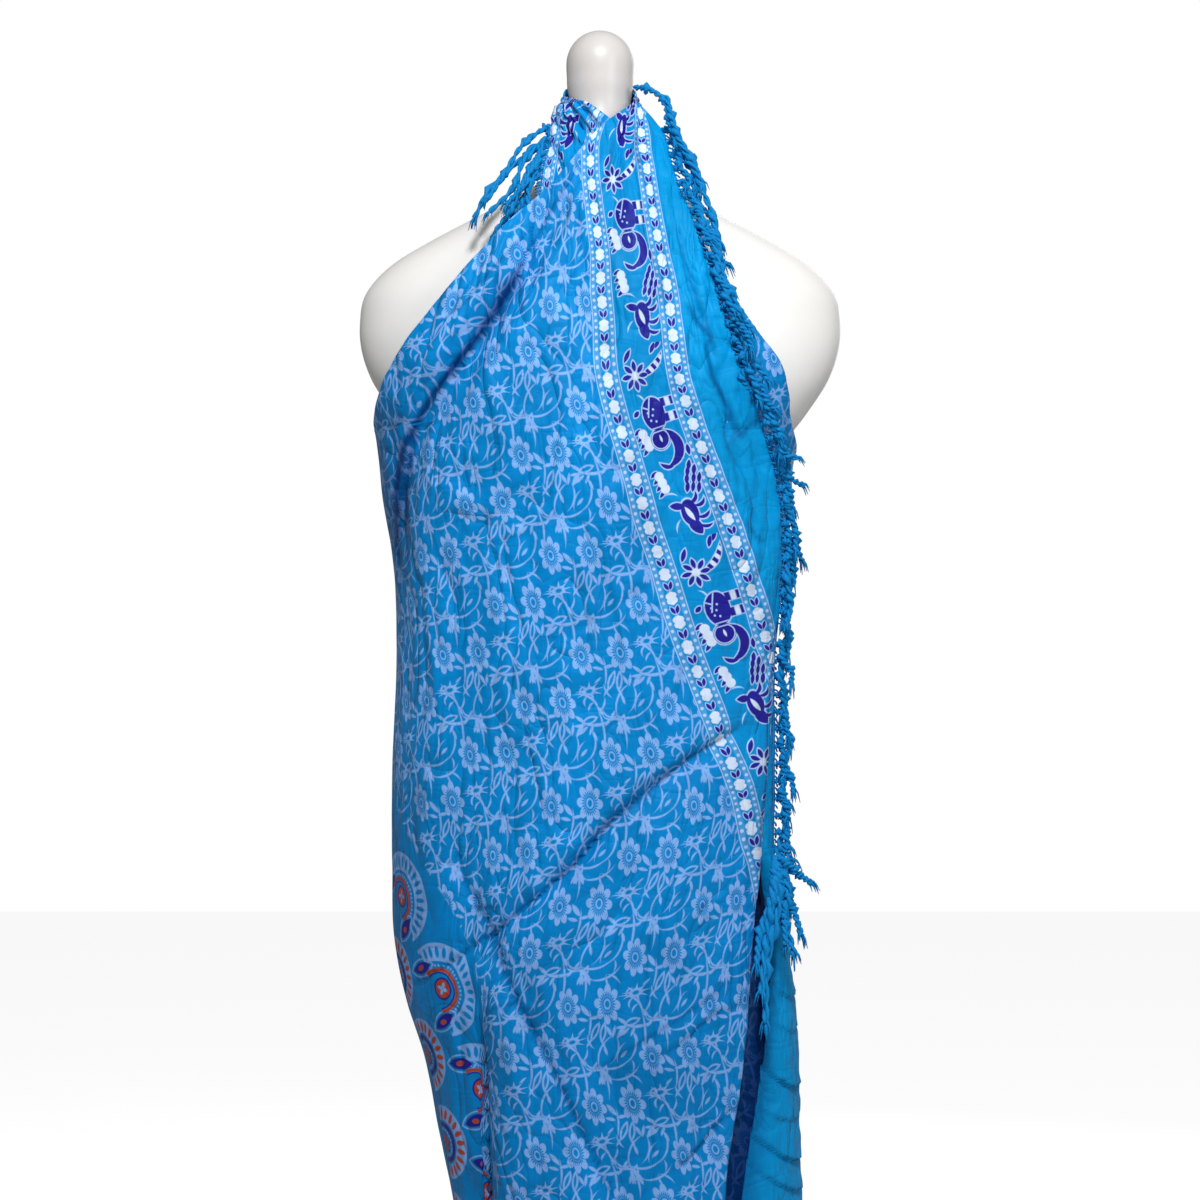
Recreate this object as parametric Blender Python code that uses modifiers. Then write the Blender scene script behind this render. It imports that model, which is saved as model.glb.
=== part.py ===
"""A fringed rayon sarong tied as a crossed halter dress on an armless dress form.

The cloth is one rectangle, 1.75 m long and 1.12 m wide, with a fringe on both short ends. It goes
round the form under the arms. Its outer end crosses the front from the left arm to the right of the
neck, and its inner end crosses beneath it from the right arm to the left of the neck. Both corners
are knotted behind the neck. Front is -Y, left and right are as seen from the front, Z is up.
"""

import math
from collections import namedtuple

import bmesh
import bpy
import numpy as np
from mathutils import Vector

MM = 0.001

# The cloth and how its layers lie, in millimetres out from the envelope of the outer wrap.
WALL = 1.5
SEAM_GAP = 0.3
UNDER_LAYER = -7.0
STRIP_LAYER = -2.4
CLOTH_BULGE = 2.2
FORM_BULGE = 2.0

# Heights in millimetres.
STRAP_FOOT = 1508.0
ARM_LEFT = 1212.0
ARM_RIGHT = 1192.0
BACK_TOP = 1182.0
SLANT_START = 600.0
HEM_LOW = 100.0
HEM_HIGH = 440.0
HEM_BACK = 88.0
FORM_FOOT = 750.0
NECK_TOP = 1547.0
FORM_TOP = 1580.0
BASE_THICK = 12.0
COLLAR_TOP = 52.0

# Round pieces.
CAP_RADIUS = 31.0
CAP_RIM = 4.0
POLE_RADIUS = 12.5
BASE_RADIUS = 160.0

# Columns and rows of the cloth's wall.
FRONT_COLUMNS = 24
UNDER_COLUMNS = 12
BACK_COLUMNS = 20
STRIP_COLUMNS = 4

# Fringe.
TASSEL_PITCH = 19.0
TASSEL_STEPS = 2
TASSEL_LENGTH = 46.0
INNER_STEP = 8.0
STRIP_WIDTH = 4.0
EDGE_GAP = 0.6

Envelope = namedtuple("Envelope", "height left right front back")
ENVELOPE = [
    Envelope(1530, 40, 40, 38, 38),
    Envelope(1508, 44, 46, 42, 40),
    Envelope(1478, 66, 76, 56, 50),
    Envelope(1440, 104, 112, 76, 62),
    Envelope(1400, 158, 156, 94, 74),
    Envelope(1360, 206, 200, 108, 86),
    Envelope(1310, 236, 232, 118, 98),
    Envelope(1260, 228, 226, 124, 104),
    Envelope(1235, 216, 211, 126, 106),
    Envelope(1210, 207, 196, 128, 107),
    Envelope(1190, 204, 187, 129, 107),
    Envelope(1150, 200, 183, 129, 105),
    Envelope(1090, 190, 179, 126, 102),
    Envelope(1010, 187, 167, 124, 103),
    Envelope(900, 191, 166, 124, 114),
    Envelope(812, 191, 167, 124, 120),
    Envelope(745, 189, 176, 124, 119),
    Envelope(690, 178, 182, 123, 117),
    Envelope(640, 162, 186, 121, 114),
    Envelope(570, 148, 187, 118, 110),
    Envelope(512, 136, 189, 115, 107),
    Envelope(300, 112, 184, 108, 100),
    Envelope(80, 100, 180, 102, 95),
]

Form = namedtuple("Form", "height width front back")
FORM = [
    Form(1547, 30, 30, 30),
    Form(1532, 30.5, 30.5, 30.5),
    Form(1512, 28.5, 29, 28.5),
    Form(1490, 30, 32, 30),
    Form(1465, 37, 39, 38),
    Form(1440, 56, 50, 47),
    Form(1415, 100, 60, 55),
    Form(1390, 148, 70, 64),
    Form(1365, 190, 80, 72),
    Form(1340, 214, 88, 78),
    Form(1310, 221, 95, 84),
    Form(1260, 211, 104, 90),
    Form(1227, 190, 109, 92),
    Form(1197, 168, 112, 92),
    Form(1150, 160, 110, 88),
    Form(1090, 143, 100, 84),
    Form(1020, 133, 92, 84),
    Form(960, 137, 92, 92),
    Form(900, 143, 96, 102),
    Form(850, 147, 98, 106),
    Form(800, 145, 94, 100),
    Form(770, 138, 88, 94),
    Form(750, 126, 80, 86),
]
FORM_SIDES = 36

# Where the outer end's two edges cross the front, as distances from the middle.
Edge = namedtuple("Edge", "height inner outer")
OUTER_EDGES = [
    Edge(1508, 30, 36),
    Edge(1492, 10, 50),
    Edge(1478, -5, 58),
    Edge(1452, -25, 64),
    Edge(1427, -45, 72),
    Edge(1413, -61, 77),
    Edge(1376, -97, 89),
    Edge(1328, -139, 104),
    Edge(1270, -184, 123),
    Edge(1234, -202, 137),
    Edge(1212, -207, 144),
    Edge(1189, -204, 151),
    Edge(1128, -197, 163),
    Edge(1056, -187, 162),
    Edge(1020, -187, 161),
    Edge(975, -189, 161),
    Edge(927, -190, 157),
    Edge(862, -191, 151),
    Edge(822, -191, 148),
    Edge(768, -190, 141),
    Edge(696, -180, 136),
    Edge(616, -157, 127),
    Edge(547, -143, 116),
    Edge(516, -137, 114),
    Edge(300, -112, 100),
    Edge(80, -100, 92),
]
# The inner end: its fringed edge, and its long edge up to the right arm.
INNER_EDGES = [
    Edge(1520, -34, -27),
    Edge(1506, -43, -9),
    Edge(1492, -49, 10),
    Edge(1478, -51, 21),
    Edge(1427, -57, 57),
    Edge(1376, -61, 94),
    Edge(1361, -62, 104),
    Edge(1328, -66, 122),
    Edge(1293, -71, 146),
    Edge(1270, -75, 165),
    Edge(1245, -78, 174),
    Edge(1218, -82, 178),
    Edge(1192, -85, 188),
    Edge(1000, -90, 166),
    Edge(600, -100, 187),
    Edge(300, -90, 184),
    Edge(80, -80, 180),
]
# The plain strip of the outer end below the hip, from beneath the turned edge to the right side.
STRIP_EDGES = [
    Edge(1020, 146, 160),
    Edge(975, 147, 161),
    Edge(927, 142, 161),
    Edge(862, 136, 161),
    Edge(822, 140, 161),
    Edge(778, 150, 168),
    Edge(745, 154, 173),
    Edge(696, 156, 180),
    Edge(632, 150, 184),
    Edge(576, 141, 185),
    Edge(516, 131, 187),
    Edge(455, 122, 186),
]

# The band of gathered cloth round each side of the neck: its height is the turn in degrees, from the
# front of the side round to the knot, with the radius and height of its upper and lower edges.
Band = namedtuple("Band", "height upper_radius upper_height lower_radius lower_height")
NECK_BAND = [
    Band(-18, 34.0, 1518, 43.0, 1498),
    Band(10, 32.7, 1527, 38.5, 1503),
    Band(40, 32.6, 1531, 35.5, 1508),
    Band(68, 32.6, 1532, 33.6, 1511),
]
BAND_STEPS = 7

# Soft folds on the front, as routes in the plane of the front, with depth (in is less than nothing).
Fold = namedtuple("Fold", "depth width route")
FRONT_FOLDS = [
    Fold(-9, 15, ((-52, 1402), (-97, 1320), (-148, 1249), (-178, 1190), (-183, 1120))),
    Fold(6, 14, ((-70, 1400), (-128, 1305), (-176, 1235))),
    Fold(-6, 12, ((-40, 1415), (-70, 1340), (-118, 1260), (-160, 1175))),
    Fold(-6, 12, ((4, 1470), (-12, 1400), (-30, 1330))),
    Fold(4, 14, ((24, 1480), (30, 1400), (44, 1300))),
    Fold(-5, 12, ((-135, 732), (-22, 826), (36, 885), (130, 943))),
    Fold(-5, 16, ((-131, 849), (-103, 774), (-80, 716), (-45, 650), (6, 543))),
    Fold(-9, 14, ((-112, 700), (-110, 600), (-108, 480), (-100, 300), (-92, 100))),
    Fold(6, 22, ((-84, 690), (-78, 500), (-70, 300), (-62, 100))),
    Fold(-7, 20, ((20, 620), (10, 460), (0, 300), (-8, 100))),
    Fold(7, 24, ((62, 640), (54, 480), (44, 300), (36, 150))),
    Fold(-5, 16, ((104, 700), (96, 560), (84, 420), (76, 300))),
    Fold(-4, 18, ((60, 1230), (66, 1140), (60, 1050))),
    Fold(-4, 20, ((-60, 1180), (-72, 1080), (-70, 980))),
    Fold(4, 20, ((-150, 1090), (-152, 950), (-150, 800))),
    Fold(-4, 12, ((108, 1300), (126, 1230), (140, 1150))),
]
# Long soft falls at the back: place round the form in degrees from the left side, depth, width, top.
Fall = namedtuple("Fall", "place depth width top")
BACK_FALLS = [
    Fall(24, -7, 7, 1120),
    Fall(43, 6, 8, 1010),
    Fall(62, -8, 7, 1150),
    Fall(80, 5, 9, 900),
    Fall(97, -6, 7, 1080),
    Fall(118, 7, 9, 960),
    Fall(137, -8, 8, 1140),
    Fall(158, 5, 7, 880),
]
FALL_GROWTH = 500.0


def column(table, name):
    """Heights and one named column of a table, from the lowest row up."""
    rows = sorted(table, key=lambda row: row.height)
    return [row.height for row in rows], [getattr(row, name) for row in rows]


def smooth_value(table, name, height):
    """A column read at any height, eased between rows by a cubic that keeps each row's value."""
    heights, values = column(table, name)
    slopes = np.gradient(values, heights)
    height = min(max(height, heights[0]), heights[-1])
    i = min(int(np.searchsorted(heights, height, side="right")) - 1, len(heights) - 2)
    i = max(i, 0)
    span = heights[i + 1] - heights[i]
    t = (height - heights[i]) / span
    start = (2 * t**3 - 3 * t**2 + 1) * values[i] + (t**3 - 2 * t**2 + t) * span * slopes[i]
    end = (-2 * t**3 + 3 * t**2) * values[i + 1] + (t**3 - t**2) * span * slopes[i + 1]
    return float(start + end)


def distance_to_route(x, z, route):
    """Distance to a fold's route, and how far along it the nearest point is, from 0 to 1."""
    best, along = 1e9, 0.0
    pieces = len(route) - 1
    for i in range(pieces):
        start, end = Vector(route[i]), Vector(route[i + 1])
        run = end - start
        t = (Vector((x, z)) - start).dot(run) / run.length_squared
        t = min(max(t, 0.0), 1.0)
        gap = (start + run * t - Vector((x, z))).length
        if gap < best:
            best, along = gap, (i + t) / pieces
    return best, along


def front_relief(x, z):
    """How far the cloth's folds push the front out at a place, in millimetres."""
    relief = 0.0
    for fold in FRONT_FOLDS:
        gap, along = distance_to_route(x, z, fold.route)
        ease = math.sin(math.pi * min(max(along, 0.08), 0.92)) ** 0.5
        relief += fold.depth * ease * math.exp(-((gap / fold.width) ** 2))
    return relief


def back_relief(turn, z):
    """How far the long falls push the back out, at a turn in degrees from the left side."""
    relief = 0.0
    for fall in BACK_FALLS:
        grown = min(max((fall.top - z) / FALL_GROWTH, 0.0), 1.0)
        relief += fall.depth * grown * math.exp(-(((turn - fall.place) / fall.width) ** 2))
    return relief


def on_envelope(z, angle, out):
    """A point of the cloth at a height and an angle, in millimetres. Front is minus 90 degrees."""
    cosine, sine = math.cos(angle), math.sin(angle)
    half_width = smooth_value(ENVELOPE, "left" if cosine < 0 else "right", z) + out
    half_depth = smooth_value(ENVELOPE, "front" if sine < 0 else "back", z) + out
    power = 2 / CLOTH_BULGE
    x = math.copysign(abs(cosine) ** power, cosine) * half_width
    y = math.copysign(abs(sine) ** power, sine) * half_depth
    return Vector((x, y, z))


def angle_at(x, z):
    """The angle on the front of the envelope that lies at a distance from the middle."""
    half_width = smooth_value(ENVELOPE, "left" if x < 0 else "right", z)
    share = min(abs(x) / half_width, 1.0) ** (CLOTH_BULGE / 2)
    return -math.acos(math.copysign(share, x))


def front_point(z, x_from, x_to, share, layer):
    """A point of a row that crosses the front, with the folds added."""
    start, end = angle_at(x_from, z), angle_at(x_to, z)
    angle = start + (end - start) * share
    flat = on_envelope(z, angle, layer)
    fade = min(1.0, abs(math.sin(angle)) * 2.5)
    return on_envelope(z, angle, layer + fade * front_relief(flat.x, z))


def slanted(z, share, rising):
    """The height of a row below the slant's start, so that the rows end on a slanting hem."""
    if z >= SLANT_START:
        return z
    hem = HEM_LOW + (HEM_HIGH - HEM_LOW) * (share if rising else 1 - share) ** 1.5
    return SLANT_START - (SLANT_START - z) * (SLANT_START - hem) / (SLANT_START - HEM_LOW)


def heights_between(top, bottom, rows):
    """Evenly spaced heights from the top down."""
    return [top + (bottom - top) * i / rows for i in range(rows + 1)]


def band_edge(turn, side, edge):
    """A point on one edge of the band round the neck, at a turn in degrees."""
    radius = smooth_value(NECK_BAND, edge + "_radius", turn)
    angle = math.radians(turn)
    height = smooth_value(NECK_BAND, edge + "_height", turn)
    return Vector((side * radius * math.cos(angle), radius * math.sin(angle), height))


def band_rows(columns, side):
    """Rows of the band round the neck, from the knot to the front, each from the left edge."""
    rows = []
    first, last = NECK_BAND[0].height, NECK_BAND[-1].height
    for step in range(BAND_STEPS + 1):
        turn = last + (first - last) * step / BAND_STEPS
        upper, lower = band_edge(turn, side, "upper"), band_edge(turn, side, "lower")
        row = [upper.lerp(lower, i / columns) for i in range(columns + 1)]
        rows.append(row if side > 0 else row[::-1])
    return rows


def front_rows():
    """The outer end: round the neck on the right, then over the whole front to the left side."""
    rows = band_rows(FRONT_COLUMNS, 1)
    levels = heights_between(STRAP_FOOT, ARM_LEFT, 13) + heights_between(ARM_LEFT, HEM_LOW, 33)[1:]
    for level in levels:
        row = []
        for i in range(FRONT_COLUMNS + 1):
            share = i / FRONT_COLUMNS
            z = slanted(level, share, True)
            x_from = smooth_value(OUTER_EDGES, "inner", z)
            if level <= ARM_LEFT:
                x_from = -smooth_value(ENVELOPE, "left", z)
            row.append(front_point(z, x_from, smooth_value(OUTER_EDGES, "outer", z), share, 0.0))
        rows.append(row)
    return rows


def under_rows():
    """The inner end: round the neck on the left, then beneath the outer end to the right side."""
    rows = band_rows(UNDER_COLUMNS, -1)
    levels = heights_between(STRAP_FOOT, ARM_RIGHT, 11) + heights_between(ARM_RIGHT, HEM_LOW, 24)[1:]
    for level in levels:
        row = []
        for i in range(UNDER_COLUMNS + 1):
            share = i / UNDER_COLUMNS
            z = slanted(level, share, False)
            x_to = smooth_value(INNER_EDGES, "outer", z)
            if level <= ARM_RIGHT:
                x_to = smooth_value(ENVELOPE, "right", z)
            rise = min(max((z - 1478) / 30, 0.0), 1.0)
            layer = UNDER_LAYER * (1 - rise)
            row.append(front_point(z, smooth_value(INNER_EDGES, "inner", z), x_to, share, layer))
        rows.append(row)
    return rows


def back_rows():
    """The back, from the left side round to the right side."""
    rows = []
    steps = 26
    for i in range(steps + 1):
        row = []
        for j in range(BACK_COLUMNS + 1):
            share = j / BACK_COLUMNS
            sag = math.sin(math.pi * share)
            top = ARM_LEFT + (ARM_RIGHT - ARM_LEFT) * share + (BACK_TOP - ARM_RIGHT) * sag
            hem = HEM_LOW + (HEM_BACK - HEM_LOW) * sag
            z = top + (hem - top) * i / steps
            seam = SEAM_GAP / 180
            angle = math.pi * (1 - share) - (seam if j == 0 else 0) + (seam if j == BACK_COLUMNS else 0)
            relief = back_relief(180 * share, z) * min(1.0, sag * 3)
            row.append(on_envelope(z, angle, UNDER_LAYER * share + relief))
        rows.append(row)
    return rows


def strip_rows():
    """The plain strip of the outer end, from behind the turned edge out to the right side."""
    rows = []
    for z in heights_between(STRIP_EDGES[0].height, STRIP_EDGES[-1].height, 22):
        x_from = smooth_value(STRIP_EDGES, "inner", z)
        x_to = smooth_value(STRIP_EDGES, "outer", z)
        shares = [i / STRIP_COLUMNS for i in range(STRIP_COLUMNS + 1)]
        rows.append([front_point(z, x_from, x_to, share, STRIP_LAYER) for share in shares])
    return rows


def in_metres(point):
    """Millimetres to metres. The form's axis is the part's axis."""
    return Vector(point) * MM


def material(name, colour, roughness, metallic=0.0):
    """A plain finish."""
    made = bpy.data.materials.new(name)
    made.use_nodes = True
    shader = made.node_tree.nodes["Principled BSDF"]
    shader.inputs["Base Color"].default_value = (*colour, 1.0)
    shader.inputs["Roughness"].default_value = roughness
    shader.inputs["Metallic"].default_value = metallic
    return made


def add_object(name, mesh, finish, smooth=True):
    """Put a mesh in the sarong's collection."""
    made = bpy.data.objects.new(name, mesh)
    mesh.materials.append(finish)
    PARTS.objects.link(made)
    if smooth:
        mesh.shade_smooth()
    return made


def cloth(name, rows, finish):
    """One stretch of cloth: a surface through its rows, given the cloth's wall."""
    shape = bmesh.new()
    grid = [[shape.verts.new(in_metres(point)) for point in row] for row in rows]
    for upper, lower in zip(grid, grid[1:]):
        for i in range(len(upper) - 1):
            shape.faces.new((upper[i], lower[i], lower[i + 1], upper[i + 1]))
    mesh = bpy.data.meshes.new(name)
    shape.to_mesh(mesh)
    shape.free()
    made = add_object(name, mesh, finish)
    wall = made.modifiers.new("wall", "SOLIDIFY")
    wall.thickness = WALL * MM
    wall.offset = -1.0
    wall.use_even_offset = True
    return made


def lofted(name, rings, finish):
    """A closed solid through rings with the same number of points, capped at both ends."""
    shape = bmesh.new()
    loops = [[shape.verts.new(in_metres(point)) for point in ring] for ring in rings]
    count = len(loops[0])
    for upper, lower in zip(loops, loops[1:]):
        for i in range(count):
            after = (i + 1) % count
            shape.faces.new((upper[i], lower[i], lower[after], upper[after]))
    shape.faces.new(loops[0])
    shape.faces.new(loops[-1][::-1])
    bmesh.ops.recalc_face_normals(shape, faces=shape.faces)
    mesh = bpy.data.meshes.new(name)
    shape.to_mesh(mesh)
    shape.free()
    return add_object(name, mesh, finish)


def dress_form(finish):
    """The armless torso, from the top of the neck to below the hips."""
    rings = []
    for section in FORM:
        ring = []
        for i in range(FORM_SIDES):
            angle = 2 * math.pi * i / FORM_SIDES
            depth = section.front if math.sin(angle) < 0 else section.back
            x = section.width * math.copysign(abs(math.cos(angle)) ** (2 / FORM_BULGE), math.cos(angle))
            y = depth * math.copysign(abs(math.sin(angle)) ** (2 / FORM_BULGE), math.sin(angle))
            ring.append(Vector((x, y, section.height)))
        rings.append(ring)
    return lofted("form_torso", rings, finish)


def turned(name, profile, finish, steps=32):
    """A turned piece: a profile of radius and height, top to bottom, spun round the form's axis."""
    mesh = bpy.data.meshes.new(name)
    points = [in_metres((radius, 0, height)) for radius, height in profile]
    mesh.from_pydata(points, [(i, i + 1) for i in range(len(points) - 1)], [])
    made = add_object(name, mesh, finish, smooth=False)
    spin = made.modifiers.new("spin", "SCREW")
    spin.steps = steps
    spin.render_steps = steps
    spin.use_merge_vertices = True
    spin.merge_threshold = 0.00005
    spin.use_smooth_shade = True
    return made


def tassel_rings(root, out, down, length, size):
    """Centres, directions and half widths along one tassel: cord, knot, cord and frayed end."""
    Station = namedtuple("Station", "along bend wide")
    stations = [
        Station(0.10, 0.35, 0.7),
        Station(0.34, 0.75, 0.6),
        Station(0.44, 0.9, 1.25),
        Station(0.54, 1.0, 0.6),
        Station(1.00, 1.0, 1.15),
    ]
    rings = []
    place, before = root.copy(), 0.0
    for station in stations:
        heading = out.lerp(down, station.bend).normalized()
        place = place + heading * length * (station.along - before)
        before = station.along
        rings.append((place.copy(), heading, size * station.wide))
    return rings


def fringe(name, edge, outs, lifts, downs, finish, lengths):
    """A narrow strip beside a cloth edge, with tassels grown out of its outer side.

    edge is the strip's own inner line, outs the directions away from the cloth along its surface,
    lifts the directions off the surface and downs the way each tassel hangs.
    """
    shape = bmesh.new()
    sections = []
    for point, out, lift in zip(edge, outs, lifts):
        far = point + out * STRIP_WIDTH
        low, high = lift * 0.0, lift * -WALL
        corners = (point + low, far + low, far + high, point + high)
        sections.append([shape.verts.new(in_metres(corner)) for corner in corners])
    for i in range(len(sections) - 1):
        here, after = sections[i], sections[i + 1]
        for side in range(4):
            other = (side + 1) % 4
            if side == 1 and i % TASSEL_STEPS == 0:
                ring = (here[1], here[2], after[2], after[1])
                root = (edge[i] + edge[i + 1]) / 2 + outs[i] * STRIP_WIDTH - lifts[i] * WALL / 2
                add_tassel(shape, ring, root, outs[i], downs[i], lifts[i], lengths[i])
                continue
            shape.faces.new((here[side], here[other], after[other], after[side]))
    shape.faces.new(sections[0][::-1])
    shape.faces.new(sections[-1])
    bmesh.ops.recalc_face_normals(shape, faces=shape.faces)
    mesh = bpy.data.meshes.new(name)
    shape.to_mesh(mesh)
    shape.free()
    return add_object(name, mesh, finish, smooth=False)


def add_tassel(shape, ring, root, out, down, lift, length):
    """Grow one four-sided tassel from an open ring of the strip."""
    for place, heading, half in tassel_rings(root, out, down, length, 3.0):
        across = heading.cross(lift).normalized()
        up = across.cross(heading).normalized()
        corners = (across + up, across - up, -across - up, -across + up)
        if (in_metres(place + corners[0]) - ring[0].co).length > (
            in_metres(place + corners[3]) - ring[0].co
        ).length:
            corners = (-across + up, -across - up, across - up, across + up)
        fresh = [shape.verts.new(in_metres(place + corner * half * 0.8)) for corner in corners]
        for i in range(4):
            other = (i + 1) % 4
            shape.faces.new((ring[i], ring[other], fresh[other], fresh[i]))
        ring = fresh
    shape.faces.new(ring)


def cloth_edge(rows, last, top, bottom, pitch):
    """Points a pitch apart along a side edge of a stretch of cloth, parted from it by the seam gap.

    Also gives the directions away from the cloth and off its surface.
    """
    line, aways = [], []
    for row in rows:
        end, before = (row[-1], row[-2]) if last else (row[0], row[1])
        if bottom <= end.z <= top:
            line.append(end)
            aways.append((end - before).normalized())
    run = [0.0]
    for here, after in zip(line, line[1:]):
        run.append(run[-1] + (after - here).length)
    count = int(run[-1] / pitch)
    points, outs, lifts = [], [], []
    for k in range(count + 1):
        place = run[-1] * k / count
        i = min(int(np.searchsorted(run, place, side="right")) - 1, len(line) - 2)
        share = (place - run[i]) / (run[i + 1] - run[i])
        along = (line[i + 1] - line[i]).normalized()
        out = aways[i].lerp(aways[i + 1], share)
        out = (out - along * out.dot(along)).normalized()
        lift = along.cross(out).normalized()
        if lift.y > 0:
            lift = -lift
        points.append(line[i].lerp(line[i + 1], share) + out * EDGE_GAP)
        outs.append(out)
        lifts.append(lift)
    return points, outs, lifts


def outer_fringe(finish):
    """The fringe of the outer end, down the right of the front."""
    step = TASSEL_PITCH / TASSEL_STEPS
    points, outs, lifts = cloth_edge(front_rows(), True, 1495, 1030, step)
    lengths = [TASSEL_LENGTH * (1 + 0.22 * math.sin(2.7 * i)) for i in range(len(points))]
    downs = []
    for i, out in enumerate(outs):
        after = points[min(i + 1, len(points) - 1)] - points[max(i - 1, 0)]
        swing = 0.62 + 0.16 * math.sin(1.9 * i)
        downs.append((after.normalized() + out * swing + lifts[i] * 0.10).normalized())
    return fringe("fringe_outer_end", points, outs, lifts, downs, finish, lengths)


def lower_fringe(finish):
    """The same fringe below the waist, beside the plain strip."""
    step = TASSEL_PITCH / TASSEL_STEPS
    points, outs, lifts = cloth_edge(strip_rows(), True, 1018, 825, step)
    lengths = [TASSEL_LENGTH * (1 + 0.22 * math.sin(2.3 * i + 1)) for i in range(len(points))]
    downs = []
    for i, lift in enumerate(lifts):
        sway = 0.62 + 0.14 * math.sin(1.7 * i)
        downs.append((Vector((0, 0, -1)) + lift * sway).normalized())
    return fringe("fringe_outer_end_low", points, outs, lifts, downs, finish, lengths)


def inner_fringe(finish):
    """The fringe of the inner end that shows at the left of the neck."""
    points, outs, lifts = cloth_edge(under_rows(), False, 1485, 1400, INNER_STEP)
    lengths = [88.0 - 3.0 * i for i in range(len(points))]
    downs = [(Vector((-0.55, -0.30, -1.0))).normalized() for _ in points]
    return fringe("fringe_inner_end", points, outs, lifts, downs, finish, lengths)


def neck_knot(finish):
    """The two corners knotted behind the neck: a squat bundle with a waist."""
    centre = Vector((0, 39.7, 1522))
    rings = []
    count = 16
    for i in range(9):
        turn = -1 + 2 * (i + 0.35) / 8.7
        reach = math.sqrt(max(1 - turn * turn, 0.04)) * (1 - 0.16 * math.exp(-((turn / 0.28) ** 2)))
        ring = []
        for j in range(count):
            angle = 2 * math.pi * j / count
            depth, rise = 11 * reach * math.cos(angle), 16 * reach * math.sin(angle)
            ring.append(centre + Vector((21 * turn, depth, rise)))
        rings.append(ring)
    return lofted("neck_knot", rings, finish)


def tie_tail(name, side, finish):
    """One short corner of cloth that hangs from the knot down the back."""
    Station = namedtuple("Station", "x y z wide thick")
    stations = [
        Station(12, 42, 1507, 8, 5),
        Station(15, 44, 1492, 11, 4.5),
        Station(21, 49, 1472, 15, 4),
        Station(26, 57, 1446, 19, 3.5),
        Station(29, 67, 1418, 16, 3),
        Station(31, 76, 1396, 6, 3),
    ]
    rings = []
    for station in stations:
        ring = []
        for j in range(10):
            angle = 2 * math.pi * j / 10
            x = side * station.x + station.wide * math.cos(angle)
            y = station.y + station.thick * math.sin(angle) + 2.5 * math.cos(2 * angle)
            ring.append(Vector((x, y, station.z)))
        rings.append(ring)
    return lofted(name, rings, finish)


def neck_cap(finish):
    """The domed cap on the form's neck."""
    foot = NECK_TOP + SEAM_GAP
    rise = FORM_TOP - foot
    arc = [math.radians(angle) for angle in range(90, 0, -15)]
    dome = [(CAP_RADIUS * math.cos(angle), foot + rise * math.sin(angle)) for angle in arc]
    dome[0] = (0, FORM_TOP)
    turned("neck_cap", dome + [(CAP_RADIUS, foot + CAP_RIM), (CAP_RADIUS, foot), (0, foot)], finish)


def stand(steel, enamel):
    """The pole beneath the form, its collar and the round base."""
    top, foot = FORM_FOOT - SEAM_GAP, BASE_THICK + SEAM_GAP
    radius, bore = POLE_RADIUS, POLE_RADIUS + SEAM_GAP
    turned("stand_pole", [(0, top), (radius, top), (radius, foot), (0, foot)], steel, 24)
    collar = [(19, COLLAR_TOP), (22, COLLAR_TOP - 3), (22, 20), (34, foot)]
    turned("stand_collar", [(bore, COLLAR_TOP)] + collar + [(bore, foot), (bore, COLLAR_TOP)], steel, 24)
    rim = [(BASE_RADIUS - 4, BASE_THICK), (BASE_RADIUS, BASE_THICK - 4), (BASE_RADIUS, 0)]
    turned("stand_base", [(0, BASE_THICK)] + rim + [(0, 0)], enamel, 48)


def main():
    """Make every piece."""
    field = material("printed_rayon", (0.02, 0.27, 0.62), 0.62)
    plain = material("plain_rayon", (0.01, 0.30, 0.62), 0.60)
    thread = material("fringe_thread", (0.01, 0.22, 0.52), 0.75)
    shell = material("form_shell", (0.84, 0.82, 0.77), 0.42)
    steel = material("stand_steel", (0.80, 0.80, 0.80), 0.30, 1.0)
    enamel = material("stand_enamel", (0.80, 0.80, 0.78), 0.40)

    cloth("front_wrap", front_rows(), field)
    cloth("under_wrap", under_rows(), field)
    cloth("back_wrap", back_rows(), field)
    cloth("plain_strip", strip_rows(), plain)
    outer_fringe(thread)
    lower_fringe(thread)
    inner_fringe(thread)
    neck_knot(field)
    tie_tail("tie_tail_left", -1, field)
    tie_tail("tie_tail_right", 1, field)

    dress_form(shell)
    neck_cap(shell)
    stand(steel, enamel)


for old in list(bpy.data.objects):
    bpy.data.objects.remove(old, do_unlink=True)
PARTS = bpy.data.collections.new("halter_sarong")
bpy.context.scene.collection.children.link(PARTS)
main()
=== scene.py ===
"""Looks of a fringed rayon sarong, tied as a crossed halter dress on an armless dress form.

The cloth's shells follow the same sections, edges and folds as the solids, with finer creases. The
print is worked out by shader nodes on the cloth's own maps: "cloth" runs across and down the cloth in
metres, and "band" runs across and along the border. Front is -Y and Z is up.
"""

import math
import random
from collections import namedtuple
from functools import reduce

import bmesh
import bpy
import numpy as np
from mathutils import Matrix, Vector, noise


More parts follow.
